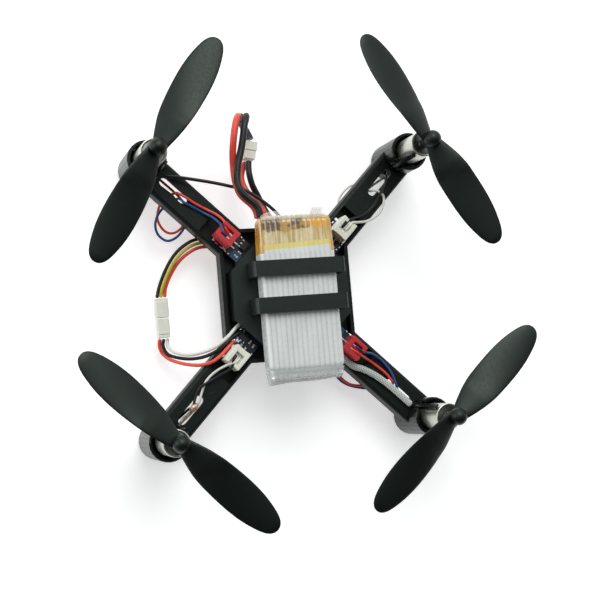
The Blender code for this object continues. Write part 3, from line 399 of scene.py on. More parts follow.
def tube_rings(points, radius, sides, start=(0.3, 0.2, 1), squash=1.0):
    """Rings round a line, with a radius that is a function of the share along it and the angle.

    The first point of each ring is set off towards the start direction, carried on along the line.
    """
    rings = []
    across = Vector(start)
    for index, point in enumerate(points):
        ahead = points[min(index + 1, len(points) - 1)] - points[max(index - 1, 0)]
        ahead.normalize()
        across = (across - ahead * across.dot(ahead)).normalized()
        other = ahead.cross(across)
        share = index / (len(points) - 1)
        ring = []
        for turn in turns(sides):
            way = across * math.cos(turn) * squash + other * math.sin(turn)
            ring.append(point + way * radius(share, turn))
        rings.append(ring)
    return rings


def rounded_ends(points, radius):
    """Radius function that rounds a tube's two ends over about a third of its radius."""
    length = route_length(points)
    bite = 0.35

    def size(share, _):
        near = min(share, 1 - share) * length / (radius * bite)
        return radius * math.sqrt(max(1 - (1 - min(near, 1)) ** 2, 0.45))

    return size


def along_arm(azimuth, distance, offset, height):
    """World point from the distance along an arm, the offset to its left and the height."""
    return Matrix.Rotation(math.radians(azimuth), 3, "Z") @ Vector((distance, offset, height))


def turned_to(azimuth):
    """Turn about Z that takes +X to an azimuth."""
    return Matrix.Rotation(math.radians(azimuth), 4, "Z")


# Materials

def node(tree, kind, inputs=(), **settings):
    """Adds a node. Inputs are values, or sockets of other nodes to link."""
    made = tree.nodes.new(kind)
    for key, value in settings.items():
        setattr(made, key, value)
    for key, value in dict(inputs).items():
        if isinstance(value, bpy.types.NodeSocket):
            tree.links.new(value, made.inputs[key])
        else:
            made.inputs[key].default_value = value
    return made


def material(name, colour, roughness, metallic=0.0, vary=0.18, patch=350, grain=3200, bump=0.25,
             depth=0.00004, rough_vary=0.12, coat=0.0, specular=0.5, tint=(1, 1, 1), alpha=1.0, glow=0.0,
             stretch=(1, 1, 1)):
    """Surface whose colour and roughness drift in patches, with a fine grain raised from it."""
    made = bpy.data.materials.new(name)
    made.use_nodes = True
    tree = made.node_tree
    shader = tree.nodes["Principled BSDF"]
    place = node(tree, "ShaderNodeTexCoord").outputs["Object"]
    stretched = node(tree, "ShaderNodeMapping", {"Vector": place, "Scale": stretch}).outputs["Vector"]
    patches = node(tree, "ShaderNodeTexNoise", {"Vector": stretched, "Scale": patch, "Detail": 4.0})
    fine = node(tree, "ShaderNodeTexNoise", {"Vector": stretched, "Scale": grain, "Detail": 2.0})
    dark = tuple(channel * (1 - vary) for channel in colour)
    light = tuple(min(channel * (1 + vary), 1) for channel in colour)
    shades = {"Fac": patches.outputs["Fac"], "Color1": (*dark, 1), "Color2": (*light, 1)}
    base = node(tree, "ShaderNodeMixRGB", shades)
    rough = node(tree, "ShaderNodeMapRange", {
        "Value": fine.outputs["Fac"], "From Min": 0.3, "From Max": 0.7,
        "To Min": max(roughness - rough_vary, 0.02), "To Max": min(roughness + rough_vary, 1),
    })
    heights = {"Height": fine.outputs["Fac"], "Strength": bump, "Distance": depth}
    raised = node(tree, "ShaderNodeBump", heights)
    tree.links.new(base.outputs["Color"], shader.inputs["Base Color"])
    tree.links.new(rough.outputs["Result"], shader.inputs["Roughness"])
    tree.links.new(raised.outputs["Normal"], shader.inputs["Normal"])
    values = {
        "Metallic": metallic, "Coat Weight": coat, "Coat Roughness": 0.12, "Alpha": alpha,
        "Specular IOR Level": specular, "Specular Tint": (*tint, 1),
        "Emission Color": (*colour, 1), "Emission Strength": glow,
    }
    for key, value in values.items():
        shader.inputs[key].default_value = value
    return made


def parts_of(made):
    """A material's tree, its shader, its position socket and its colour, roughness and bump nodes."""
    tree = made.node_tree
    shader = tree.nodes["Principled BSDF"]
    place = next(n for n in tree.nodes if n.type == "TEX_COORD").outputs["Object"]
    linked = [shader.inputs[key].links[0].from_node for key in ("Base Color", "Roughness", "Normal")]
    return tree, shader, place, *linked


def maths(tree, operation, one, other=0.0, clamp=False):
    """Output of a maths node on two values or sockets."""
    made = node(tree, "ShaderNodeMath", {0: one, 1: other}, operation=operation, use_clamp=clamp)
    return made.outputs["Value"]


def scaled(tree, value, factor, offset=0.0):
    """A value times a factor, plus an offset."""
    return maths(tree, "ADD", maths(tree, "MULTIPLY", value, factor), offset)


def ramp_between(tree, value, start, end):
    """0 up to the start, 1 from the end on, and smooth between them."""
    return node(tree, "ShaderNodeMapRange", {"Value": value, "From Min": start, "From Max": end},
                interpolation_type="SMOOTHSTEP").outputs["Result"]


def placed_x_y(tree, place):
    """The X and Y of a position socket."""
    split = node(tree, "ShaderNodeSeparateXYZ", {"Vector": place})
    return split.outputs["X"], split.outputs["Y"]


def noise_along_y(tree, place, scale, squeeze):
    """Noise drawn out along Y, by as much as its squeeze is below 1."""
    drawn = node(tree, "ShaderNodeMapping", {"Vector": place, "Scale": (1, squeeze, 1)}).outputs["Vector"]
    return node(tree, "ShaderNodeTexNoise", {"Vector": drawn, "Scale": scale, "Detail": 2.0}).outputs["Fac"]


def mixed(tree, share, one, other):
    """Colour that goes from one to the other, each a colour or a socket."""
    colours = [(*c, 1) if isinstance(c, tuple) else c for c in (one, other)]
    inputs = {"Fac": share, "Color1": colours[0], "Color2": colours[1]}
    return node(tree, "ShaderNodeMixRGB", inputs).outputs["Color"]


def paint_over(made, share, colour):
    """Mixes another colour over the material's own where the share is 1."""
    tree, shader, _, base, _, _ = parts_of(made)
    tree.links.new(mixed(tree, share, base.outputs[0], colour), shader.inputs["Base Color"])


def raise_more(made, height, strength, distance):
    """Adds a second relief over the material's own grain."""
    tree, shader, _, _, _, raised = parts_of(made)
    more = node(tree, "ShaderNodeBump", {
        "Height": height, "Strength": strength, "Distance": distance, "Normal": raised.outputs["Normal"],
    })
    tree.links.new(more.outputs["Normal"], shader.inputs["Normal"])


GREENISH = (0.84, 1.0, 0.9)


def moulded_frame():
    """Satin black plastic, glossier on the motor pods, with faint ejector marks on the arms."""
    made = material("frame_moulding", (0.0044, 0.0057, 0.0052), 0.47, vary=0.3, patch=260, grain=2600,
                    bump=0.22, specular=0.26, tint=GREENISH)
    tree, shader, place, _, rough, _ = parts_of(made)
    x, y = (maths(tree, "ABSOLUTE", value) for value in placed_x_y(tree, place))
    mark_place, mark_radius, mark_line = 0.0235, 0.0017, 1 / 9000

    def away(centre):
        sides = [maths(tree, "SUBTRACT", value, centre) for value in (x, y)]
        squares = [maths(tree, "MULTIPLY", side, side) for side in sides]
        return maths(tree, "SQRT", maths(tree, "ADD", *squares))

    pod = ramp_between(tree, away(MOTOR_OFFSET), POD_RADIUS + 0.0002, POD_RADIUS - 0.0001)
    satin = maths(tree, "MULTIPLY", rough.outputs["Result"], scaled(tree, pod, -0.45, 1.0))
    tree.links.new(satin, shader.inputs["Roughness"])
    off_line = maths(tree, "ABSOLUTE", maths(tree, "SUBTRACT", away(mark_place), mark_radius))
    mark = maths(tree, "SUBTRACT", 1.0, maths(tree, "MULTIPLY", off_line, 1 / mark_line), True)
    raise_more(made, mark, 0.5, 0.00008)
    return made


def rib_share(tree, x):
    """0 in the valleys between the tape's filaments and 1 on their crests."""
    return maths(tree, "ABSOLUTE", maths(tree, "SINE", maths(tree, "MULTIPLY", x, math.pi / RIB_PITCH)))


def ribbed_tape():
    """Clear tape over a silver pouch, with its filaments running from front to rear, and painted shade in the
    valleys between them.
    """
    made = material("clear_ribbed_tape", (0.74, 0.77, 0.76), 0.3, vary=0.06, patch=200, grain=900, bump=0.3,
                    depth=0.00006, coat=0.6)
    tree, _, place, _, _, _ = parts_of(made)
    x, _ = placed_x_y(tree, place)
    valley = ramp_between(tree, rib_share(tree, x), 0.85, 0.0)
    uneven = ramp_between(tree, noise_along_y(tree, place, 620.0, 0.05), 0.3, 0.66)
    # Painted shade: the valleys between the filaments are darkened towards grey, more in some streaks than in
    # others.
    paint_over(made, maths(tree, "MULTIPLY", valley, scaled(tree, uneven, 0.45, 0.15)), (0.44, 0.47, 0.45))
    return made


def amber_cap():
    """Amber film over a small board, under the ribbed clear tape, in bands from rear to front, with a painted
    highlight along the crests of its ribs.
    """
    made = material("amber_film_tape", (0.62, 0.40, 0.16), 0.3, vary=0.15, patch=300, grain=900, bump=0.35,
                    depth=0.00008, coat=0.7)
    tree, shader, place, _, _, _ = parts_of(made)
    x, y = placed_x_y(tree, place)
    blots = noise_along_y(tree, place, 360.0, 1.0)
    streaks = noise_along_y(tree, place, 1000.0, 0.12)
    level = maths(tree, "SUBTRACT", y, maths(tree, "MULTIPLY", x, 0.05))
    ragged = maths(tree, "ADD", level, scaled(tree, maths(tree, "SUBTRACT", blots, 0.5), 0.0045))
    brown = mixed(tree, ramp_between(tree, blots, 0.44, 0.58), (0.12, 0.07, 0.02), (0.52, 0.29, 0.06))
    upper = mixed(tree, ramp_between(tree, x, 0.0030, 0.0052), brown, (0.78, 0.38, 0.03))
    colour = mixed(tree, ramp_between(tree, streaks, 0.42, 0.6), (0.56, 0.40, 0.14), (0.72, 0.60, 0.32))
    # The height that a band goes by, where its edge starts and ends, and its colour
    bands = (
        (ragged, 0.0153, 0.0161, upper),
        (ragged, 0.0184, 0.0194, (0.60, 0.47, 0.24)),
        (level, 0.0127, 0.0123, (0.80, 0.67, 0.20)),
        (level, 0.0113, 0.0110, (0.72, 0.75, 0.74)),
    )
    for height, start, end, shade in bands:
        colour = mixed(tree, ramp_between(tree, height, start, end), colour, shade)
    left = ramp_between(tree, x, -0.0080, -0.0090)
    edges = maths(tree, "ADD", left, ramp_between(tree, x, 0.0093, 0.0101), True)
    deep = mixed(tree, ramp_between(tree, streaks, 0.4, 0.6), (0.44, 0.20, 0.012), (0.66, 0.36, 0.04))
    tree.links.new(mixed(tree, edges, colour, deep), shader.inputs["Base Color"])
    # Painted highlight: pale cream along the rib crests, in streaks, stronger towards the front of the cap.
    crest = ramp_between(tree, rib_share(tree, x), 0.72, 1.0)
    crest_highlight = maths(tree, "MULTIPLY", crest, ramp_between(tree, streaks, 0.3, 0.55))
    highlight_towards_front = scaled(tree, ramp_between(tree, level, 0.0122, 0.0130), 0.3, 0.08)
    paint_over(made, maths(tree, "MULTIPLY", crest_highlight, highlight_towards_front), (0.93, 0.89, 0.76))
    return made


def woven_grey():
    """Sleeve of fine crossed threads, seen end to end along the rear right arm."""
    made = material("woven_sleeve", (0.60, 0.64, 0.60), 0.6, vary=0.14, patch=900, grain=2600, bump=0.4,
                    depth=0.00008)
    tree, _, place, _, _, _ = parts_of(made)
    along = {"Vector": place, "Rotation": (0, 0, math.radians(45))}
    turned = node(tree, "ShaderNodeMapping", along).outputs["Vector"]
    heights = []
    for turn in (0.5, -0.5):
        slant = {"Vector": turned, "Rotation": (0, 0, turn)}
        slanted = node(tree, "ShaderNodeMapping", slant).outputs["Vector"]
        threads = {"Vector": slanted, "Scale": 620.0, "Distortion": 0.8}
        heights.append(node(tree, "ShaderNodeTexWave", threads).outputs["Fac"])
    weave = maths(tree, "MAXIMUM", *heights)
    dark = ramp_between(tree, weave, 0.7, 0.35)
    paint_over(made, maths(tree, "MULTIPLY", dark, 0.85), (0.10, 0.13, 0.11))
    raise_more(made, weave, 0.5, 0.00009)
    return made


LOOKS = {
    "frame": moulded_frame(),
    "cage": material("cage_moulding", (0.008, 0.0105, 0.0098), 0.4, vary=0.3, patch=300, grain=2800,
                     bump=0.18, specular=0.42, tint=GREENISH),
    "propeller": material("propeller_plastic", (0.0031, 0.0043, 0.0038), 0.42, vary=0.3, patch=180,
                          grain=1800, bump=0.1, rough_vary=0.05, specular=0.42, tint=GREENISH),
    "board": material("solder_mask", (0.006, 0.016, 0.03), 0.32, vary=0.35, patch=900, grain=2400, bump=0.3),
    "mask": material("blue_mask", (0.02, 0.075, 0.19), 0.3, vary=0.3, patch=900, grain=2400, bump=0.3),
    "chip": material("chip_resin", (0.014, 0.014, 0.015), 0.5, vary=0.2, patch=1500, grain=6000),
    "solder": material("solder_tin", (0.78, 0.79, 0.78), 0.26, metallic=1.0, vary=0.12, patch=1500,
                       grain=2500, bump=0.5, depth=0.00005),
    "ceramic": material("ceramic_body", (0.42, 0.30, 0.17), 0.42, vary=0.2, patch=2000),
    "lamp": material("lamp_lens", (0.88, 0.90, 0.95), 0.25, vary=0.05, patch=900, coat=0.5),
    "red_shell": material("connector_red_nylon", (0.56, 0.022, 0.03), 0.36, vary=0.16, patch=600, grain=3000),
    "cream_shell": material("connector_cream_nylon", (0.80, 0.81, 0.71), 0.38, vary=0.1, patch=600,
                            grain=3000),
    "pouch": material("pouch_aluminium", (0.72, 0.73, 0.73), 0.3, metallic=0.7, vary=0.08, patch=300,
                      grain=1500),
    "tape": ribbed_tape(),
    "flap": material("loose_clear_tape", (0.80, 0.86, 0.83), 0.14, vary=0.06, patch=300, grain=260,
                     bump=0.08, depth=0.0001, alpha=0.55, coat=0.6),
    "film": material("thin_clear_tape", (0.86, 0.86, 0.80), 0.2, vary=0.08, patch=700, grain=600, bump=0.25,
                     depth=0.0001, alpha=0.4),
    "amber": amber_cap(),
    "steel": material("drawn_steel", (0.60, 0.61, 0.55), 0.3, metallic=0.95, vary=0.05, patch=250, grain=500,
                      stretch=(1, 1, 0.3), rough_vary=0.04, bump=0.02),
    "steel_end": material("can_end_steel", (0.30, 0.31, 0.29), 0.3, metallic=1.0, vary=0.12, patch=800,
                          grain=2500, rough_vary=0.05, bump=0.12),
    "brass": material("bearing_brass", (0.62, 0.46, 0.2), 0.3, metallic=1.0, vary=0.12, patch=1500),
    "zinc": material("screw_zinc", (0.36, 0.37, 0.37), 0.3, metallic=1.0, vary=0.15, patch=1800),
    "shrink": material("shrink_black", (0.017, 0.019, 0.019), 0.42, vary=0.25, patch=500, grain=1200,
                       bump=0.7, depth=0.0001),
    "module": material("module_sleeve", (0.012, 0.055, 0.03), 0.2, vary=0.35, patch=420, grain=900,
                       bump=0.45, depth=0.0001, coat=0.6),
    "copper": material("joint_copper", (0.62, 0.42, 0.30), 0.4, metallic=0.7, vary=0.25, patch=1800,
                       grain=4000),
    "strand": material("strand_copper", (0.26, 0.20, 0.15), 0.45, metallic=0.5, vary=0.5, patch=2600,
                       grain=4000),
    "brush_cap": material("brush_cap_nylon", (0.6, 0.6, 0.56), 0.5, vary=0.1),
    "magnet": material("magnet_plating", (0.35, 0.35, 0.36), 0.3, metallic=1.0, vary=0.1),
    "woven": woven_grey(),
}
# Insulation: its colour, its roughness, how much its colour varies and how it shines
INSULATION = {
    "black": ((0.008, 0.0095, 0.0095), 0.40, 0.20, 0.4),
    "red": ((0.80, 0.075, 0.045), 0.36, 0.14, 0.5),
    "blue": ((0.012, 0.07, 0.22), 0.34, 0.20, 0.5),
    "white": ((0.76, 0.75, 0.70), 0.36, 0.06, 0.5),
    "yellow": ((0.55, 0.46, 0.04), 0.36, 0.12, 0.5),
}
WIRE_LOOKS = {
    name: material(f"insulation_{name}", colour, roughness, vary=vary, patch=400, grain=1800, bump=0.2,
                   specular=specular)
    for name, (colour, roughness, vary, specular) in INSULATION.items()
}


# Camera

def camera():
    """Camera that looks down on the drone from a little to the left."""
    right, up = Vector(CAMERA_RIGHT).normalized(), Vector(CAMERA_UP)
    up = (up - right * up.dot(right)).normalized()
    back = right.cross(up)
    data = bpy.data.cameras.new("camera")
    data.lens = CAMERA_LENS
    data.sensor_width = 36
    data.clip_start = 0.01
    data.clip_end = 20
    made = placed("camera", data)
    turn = Matrix((right, up, back)).transposed().to_4x4()
    made.matrix_world = Matrix.Translation(CAMERA_PLACE) @ turn
    bpy.context.scene.camera = made


camera()


# Leads and wires, and the connectors that they end in

def corners_of(node_name, place=None):
    """Lowest and highest corner of a CAD node, or of it turned back into its own axes."""
    back = place.inverted() if place else Matrix()
    points = [back @ vert.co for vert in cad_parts[node_name].data.vertices]
    return [Vector([pick(point[axis] for point in points) for axis in range(3)]) for pick in (min, max)]


def lead_connector():
    """The battery's two-way plug in the supply socket, lying on its narrow side."""
    turn = turned_to(LEAD_PLUG_TURN)
    made = {}
    for name, lip in (("battery_plug", 0), ("supply_socket", 0.0003)):
        low, high = corners_of(name, turn)
        y0, y1 = low.y, high.y + lip
        bm = bmesh.new()
        add_box(bm, low, (high.x, y1, high.z))
        for z in ((low.z + high.z) / 2 - 0.0012, (low.z + high.z) / 2 + 0.0012):
            for x, inset, rise in ((high.x, 0.0003, 0.0003), (low.x, 0.0002, 0.0005)):
                add_box(bm, (x - 0.0001, y0 + inset, z - rise), (x + 0.0001, y1 - inset, z + rise))
        bmesh.ops.transform(bm, matrix=turn, verts=bm.verts)
        made[name] = show(name, bm, LOOKS["cream_shell"], "connector_cream")
        bevel(made[name], 0.00018)
    return made


def receiver_connectors():
    """Three-way plug and socket end to end, each a plain body with a low step and side ribs."""
    made = {}
    for name, outward in (("receiver_plug", 1), ("receiver_socket", -1)):
        low, high = corners_of(name)
        inner, outer = (low.y, high.y) if outward == 1 else (high.y, low.y)
        step = sorted((inner, outer - outward * 0.0009))
        ribs = sorted((inner + outward * 0.0008, inner + outward * 0.0030))
        bm = bmesh.new()
        add_box(bm, low, (high.x, high.y, high.z - 0.0002))
        add_box(bm, (low.x + 0.0002, step[0], high.z - 0.0003), (high.x - 0.0002, step[1], high.z))
        for x in (low.x, high.x):
            add_box(bm, (x - 0.00012, ribs[0], low.z + 0.0004), (x + 0.00012, ribs[1], high.z - 0.0006))
        made[name] = show(name, bm, LOOKS["cream_shell"], "connector_cream")
        bevel(made[name], 0.00014)
    return made


def wire_joint():
    """Bared joint of the rear left motor's white wire, and the fine strands beyond it."""
    azimuth = CORNERS["rear_left"]
    route = [along_arm(azimuth, 0.0386 + 0.0007 * n, 0.0001, 0.0052 - 0.0001 * n) for n in range(5)]

    def lump(share, turn):
        swell = math.sqrt(max(1 - (2 * share - 1) ** 2, 0.04))
        return 0.00085 * swell * (1 + 0.12 * math.sin(3 * turn + 9 * share))

    rings = tube_rings(smooth_route(route, 0.0001), lump, 20)
    lofted("wire_joint", rings, LOOKS["copper"], "wire_white", cad=False)
    bm = bmesh.new()
    for strand in range(7):
        way = []
        for step in range(9):
            share = step / 8
            sway = 0.00042 * drift(share * 2.5, strand * 3.1, 0)
            rise = 0.0003 * drift(share * 3, strand * 2.3, 5)
            offset = 0.0001 + 0.0002 * (strand - 3) * (1 - 0.3 * share) + sway
            way.append(along_arm(azimuth, 0.0410 + 0.0052 * share, offset, 0.0053 - 0.0009 * share + rise))
        add_loft(bm, tube_rings(smooth_route(way, 0.0002), lambda share, turn: 0.00007, 8))
    show("wire_strands", bm, LOOKS["strand"], "wire_white", cad=False)


def loose_leads(connectors):
    """Every loose wire."""
    looks = {"lead_sleeve": "shrink", "antenna_sleeve": "woven"}
    slots = {"lead_sleeve": "heat_shrink", "antenna_sleeve": "sleeve_grey"}
    made = {}
    for name, (diameter, route) in ROUTES.items():
        if name.startswith("battery_lead"):
            route = [(route[0][0], LEAD_START, route[0][2]), *route]
        points = smooth_route(route, 0.0003)
        radius = rounded_ends(points, diameter / 2)
        if name == "lead_sleeve":
            rings = tube_rings(points, crumpled_radius(diameter / 2), 28, squash=0.8)
        elif name == "antenna_sleeve":
            rings = tube_rings(points, radius, 20, (0, 0, 1), 0.55)
        else:
            rings = tube_rings(points, radius, 16)
        colour = "black" if name == "antenna_wire" else name.split("_")[-1]
        look = LOOKS[looks[name]] if name in looks else WIRE_LOOKS[colour]
        made[name] = (lofted(name, rings, look, slots.get(name, f"wire_{colour}")), points)
    for name, (length, far_end) in CORDS.items():
        piece, points = made[name]


def crumpled_radius(radius):
    """Radius of shrunk tubing that has wrinkled over its two wires."""

    def size(share, turn):
        folds = drift(share * 9, math.cos(turn) * 1.6, math.sin(turn) * 1.6)
        creases = abs(math.sin(share * 26 + 1.4 * math.sin(turn * 2)))
        flare = 1.0 - 0.1 * math.sin(share * math.pi)
        return radius * flare * (0.97 + 0.06 * folds - 0.07 * (1 - creases) ** 3)

    return size


def motor_leads():
    """Each motor's two wires, from the contacts of its plug, down the arm's slot and through the pod."""
    for number, (name, (length, route)) in enumerate(MOTOR_ROUTES.items()):
        corner, colour = name.rsplit("_", 1)
        side = -1 if number % 2 else 1
        contact = (0.0228, CONTACT_OFFSET * side, 0.0081)
        channel = (0.0243, 0.0005 * side + route[0][1] * 0.2, 0.0083)
        way = [(distance, side * offset, height) for distance, offset, height in POD_WAY]
        whole = [along_arm(CORNERS[corner], *point) for point in (contact, channel, *route, *way)]
        points = smooth_route(whole, 0.00025)
        rings = tube_rings(points, rounded_ends(points, MOTOR_WIRE / 2), 12)
        piece = lofted(f"motor_wire_{name}", rings, WIRE_LOOKS[colour], f"wire_{colour}")


loose_leads({**lead_connector(), **receiver_connectors()})
motor_leads()
wire_joint()


# Propellers and motors

def blade_rings(lead, turn):
    """Sections of one blade from its root to its tip, set to its pitch."""
    flat = [Vector((radius, half, 0)) for radius, half in BLADE_OUTLINE]
    rings = []
    for point in smooth_route(flat, 0.0006):
        radius, half_seen = point.x, max(point.y, 0.00015)
        pitch = min(PROP_ROOT_ANGLE, math.atan(PROP_PITCH / (2 * math.pi * max(radius, 0.001))))
        half = half_seen / math.cos(pitch)
        root = max(1 - radius / 0.006, 0) ** 2
        thickness = 0.00095 - 0.0005 * radius / PROP_RADIUS + 0.0005 * root
        thickness *= min(1, 0.25 + (PROP_RADIUS - radius) / 0.002)
        ring = []
        for angle in turns(28):
            chord = half * math.cos(angle)
            camber = 0.05 * half * (1 - (chord / half) ** 2)
            dip = 0.0008 * max(1 - radius / 0.008, 0)
            lift = thickness / 2 * math.sin(angle) + camber - dip
            across = lead * (chord * math.cos(pitch) - lift * math.sin(pitch))
            ring.append(turn @ Vector((radius, across, chord * math.sin(pitch) + lift * math.cos(pitch))))
        rings.append(ring)
    return rings


def propellers():
    """Two-blade propellers, two of each hand, with domed hubs."""
    arc = [math.radians(turn) for turn in range(6, 141, 9)]
    dome = [(HUB_RADIUS * math.sin(turn), HUB_CENTRE + HUB_RADIUS * math.cos(turn)) for turn in arc]
    stem = [(0.0015, 0.0248), (0.00142, 0.0236), (0.00138, 0.0219)]
    foot = [(0.0014, 0.02165), (0.0012, 0.0216), (0.0006, 0.0216)]
    bore = [(0.00045, 0.0218), (0.00045, 0.0253), (0, 0.0253)]
    hub = [(0, HUB_CENTRE + HUB_RADIUS), *dome, *stem, *foot, *bore]
    profile = [(radius, height - PROP_PLANE) for radius, height in hub]
    for corner, azimuth in CORNERS.items():
        axis = along_arm(azimuth, MOTOR_REACH, 0, 0)
        lead = -1 if corner in CLOCKWISE else 1
        bm = bmesh.new()
        add_turned(bm, profile, 40)
        for side in (0, 1):
            add_loft(bm, blade_rings(lead, Matrix.Rotation(math.pi * side, 3, "Z")))
        place = Matrix.Translation((axis.x, axis.y, PROP_PLANE)) @ turned_to(PROP_REST[corner])
        bmesh.ops.transform(bm, matrix=place, verts=bm.verts)
        body = f"spinner_{corner}"
        show(f"propeller_{corner}", bm, LOOKS["propeller"], "propeller_plastic", body, angle=50)


def motors():
    """Steel cans, each with its dark end face and the brass bearing of its shaft."""
    arc = [math.radians(turn) for turn in range(-20, 171, 19)]
    middle = (CAN_RADIUS - CAN_CURL, CAN_TOP - CAN_CURL)
    curl = [(middle[0] - CAN_CURL * math.cos(turn), middle[1] + CAN_CURL * math.sin(turn)) for turn in arc]
    groove = CAN_RADIUS - CAN_GROOVE
    can = [
        (CAN_BORE, CAN_BOTTOM), (CAN_BORE, CAN_TOP - 0.0008), (0.003, CAN_TOP - 0.0006), *curl,
        (CAN_RADIUS, CAN_TOP - 0.0003), (CAN_RADIUS, 0.0022), (groove, 0.00212), (groove, 0.00204),
        (CAN_RADIUS, 0.00196), (CAN_RADIUS, CAN_BOTTOM + 0.0001), (CAN_RADIUS - 0.00005, CAN_BOTTOM),
    ]
    # Radius, and height over the end face
    end = [
        (0.00055, -0.0002), (0.00055, 0), (0.0010, 0), (0.00105, 0.00004), (0.0012, 0.00004), (0.00125, 0),
        (0.00284, 0), (0.0029, -0.00006), (0.0029, -0.0002),
    ]
    bearing = [
        (0.00045, -0.0003), (0.00045, 0.00022), (0.0005, 0.00026), (0.00085, 0.00026), (0.0009, 0.0002),
        (0.0009, -0.0003),
    ]
    for corner, azimuth in CORNERS.items():
        place = Matrix.Translation(along_arm(azimuth, MOTOR_REACH, 0, 0))
        face = place @ Matrix.Translation((0, 0, CAN_FACE))
        for name, profile, segments, where, look in (
            ("motor_can", can, 64, place, "steel"),
            ("can_end", end, 64, face, "steel_end"),
            ("bearing", bearing, 32, face, "brass"),
        ):
            bm = bmesh.new()
            add_turned(bm, profile, segments, where, closed=True)
            show(f"{name}_{corner}", bm, LOOKS[look], "can_steel", cad=name == "motor_can", angle=30)


propellers()
motors()


# Flight board and motor connectors

def board_outline():
    """Corners of the board: a lobe along each arm, joined by straight sides."""
    edge = BOARD_HALF * math.sqrt(2) - LOBE_HALF
    lobe = ((edge, -LOBE_HALF), (LOBE_REACH, -LOBE_HALF), (LOBE_REACH, LOBE_HALF), (edge, LOBE_HALF))
    return [along_arm(azimuth, x, y, 0).xy for azimuth in sorted(CORNERS.values()) for x, y in lobe]


def add_part(bm, place, along, offset, half_length, half_width, height, taper=0):
    """Small block on top of the board, given by its middle."""
    add_box(bm, (along - half_length, offset - half_width, BOARD_TOP),
            (along + half_length, offset + half_width, BOARD_TOP + height), place, taper)


def flight_board():
    """The board, with its chips, lands, ceramic parts, blue patches, lamps and soldered wire ends."""
    rings = [[(x, y, height) for x, y in board_outline()] for height in (BOARD_BOTTOM, BOARD_TOP)]
    bevel(lofted("flight_board", rings, LOOKS["board"], "board_green"), 0.00008, 1)

    chips, tin, ceramic, masks, lamps = (bmesh.new() for _ in range(5))
    add_part(chips, None, 0, 0, 0.0035, 0.0035, 0.0009)
    add_part(chips, None, 0.0003, 0.0070, 0.0015, 0.0015, 0.0008)
    add_part(chips, None, -0.00475, -0.0080, 0.00175, 0.0015, 0.0012)
    for corner, azimuth in CORNERS.items():
        turn = turned_to(azimuth)
        for along, offset, *size in LANDS:
            add_part(tin, turn, along, -offset, *size)
            add_part(tin, turn, along, offset, *size)
        add_part(chips, turn, 0.0172, -0.00165, 0.0008, 0.00135, 0.001, 0.06)
        for pin in (-0.0027, -0.0017, -0.0007):
            add_part(tin, turn, 0.01825, pin, 0.00025, 0.0002, 0.0004)
        offset, half_width = (0.00195, 0.00115) if corner in CLOCKWISE else (-0.00215, 0.00095)
        add_part(masks, turn, 0.01735, offset, 0.00135, half_width, 0.00018)
        for offset, along in ((0.0006, 0.0170), (0.0020, 0.0172)):
            add_part(ceramic, turn, along, offset, 0.0003, 0.00028, 0.0005)
            for end in (-0.00042, 0.00042):
                add_part(tin, turn, along + end, offset, 0.00013, 0.0003, 0.00052)
    for azimuth, along, offset in ((45, 0.0246, 0.0026), (225, 0.0189, -0.0023)):
        add_part(lamps, turned_to(azimuth), along, offset, 0.0004, 0.0006, 0.0007, 0.15)
    ends = [route[-1] for name, (_, route) in ROUTES.items() if name.startswith(("signal", "supply"))]
    for x, y, _ in (*ends, ROUTES["antenna_wire"][1][0]):
        blob = Matrix.Translation((x * 0.985, y * 0.985, BOARD_TOP))
        add_turned(tin, [(0, 0.0007), (0.0004, 0.0006), (0.0007, 0.0003), (0.0009, 0)], 16, blob)
    for name, bm, look, width, segments in (
        ("board_chips", chips, "chip", 0.00008, 1),
        ("board_solder", tin, "solder", 0.00007, 2),
        ("board_ceramics", ceramic, "ceramic", 0.00005, 1),
        ("board_masks", masks, "mask", 0, 0),
        ("board_lamps", lamps, "lamp", 0.0001, 2),
    ):
        piece = show(name, bm, LOOKS[look], "board_green", cad=False)
        if width:
            bevel(piece, width, segments)


def add_header(bm):
    """Two-pin header along +X, with a rib on each side."""
    x0, x1 = CONNECTOR_CENTRE - HALF_LENGTH, CONNECTOR_CENTRE + HALF_LENGTH
    add_box(bm, (x0, -HALF_WIDTH, BOARD_TOP), (x1, HALF_WIDTH, HEADER_TOP))
    for y in (-HALF_WIDTH, HALF_WIDTH):
        add_box(bm, (x0 + 0.0010, y - 0.00012, BOARD_TOP + 0.0004),
                (x1 - 0.0010, y + 0.00012, HEADER_TOP - 0.0003))


def add_plug(bm):
    """Plug on a header, with an open channel for its two wires, a rib between them and a stop."""
    x0, x1 = CONNECTOR_CENTRE - HALF_LENGTH, CONNECTOR_CENTRE + HALF_LENGTH
    floor = PLUG_TOP - PLUG_CHANNEL
    inner = HALF_WIDTH - PLUG_WALL + 0.0001
    under = floor - 0.0001
    add_box(bm, (x0, -HALF_WIDTH, HEADER_TOP), (x1, HALF_WIDTH, floor))
    for low, high in ((PLUG_WALL - HALF_WIDTH, -HALF_WIDTH), (HALF_WIDTH - PLUG_WALL, HALF_WIDTH)):
        add_box(bm, (x0, min(low, high), under), (x1, max(low, high), PLUG_TOP))
    add_box(bm, (x0 + 0.0001, -inner, under), (x0 + 0.0016, inner, PLUG_TOP - 0.00004))
    add_box(bm, (x0 + 0.0025, -0.00016, under), (x1 - 0.0007, 0.00016, PLUG_TOP - 0.0006))
    add_box(bm, (x1 - 0.0011, 0.00055, PLUG_TOP - 0.0007), (x1 - 0.0001, inner, PLUG_TOP - 0.00005))


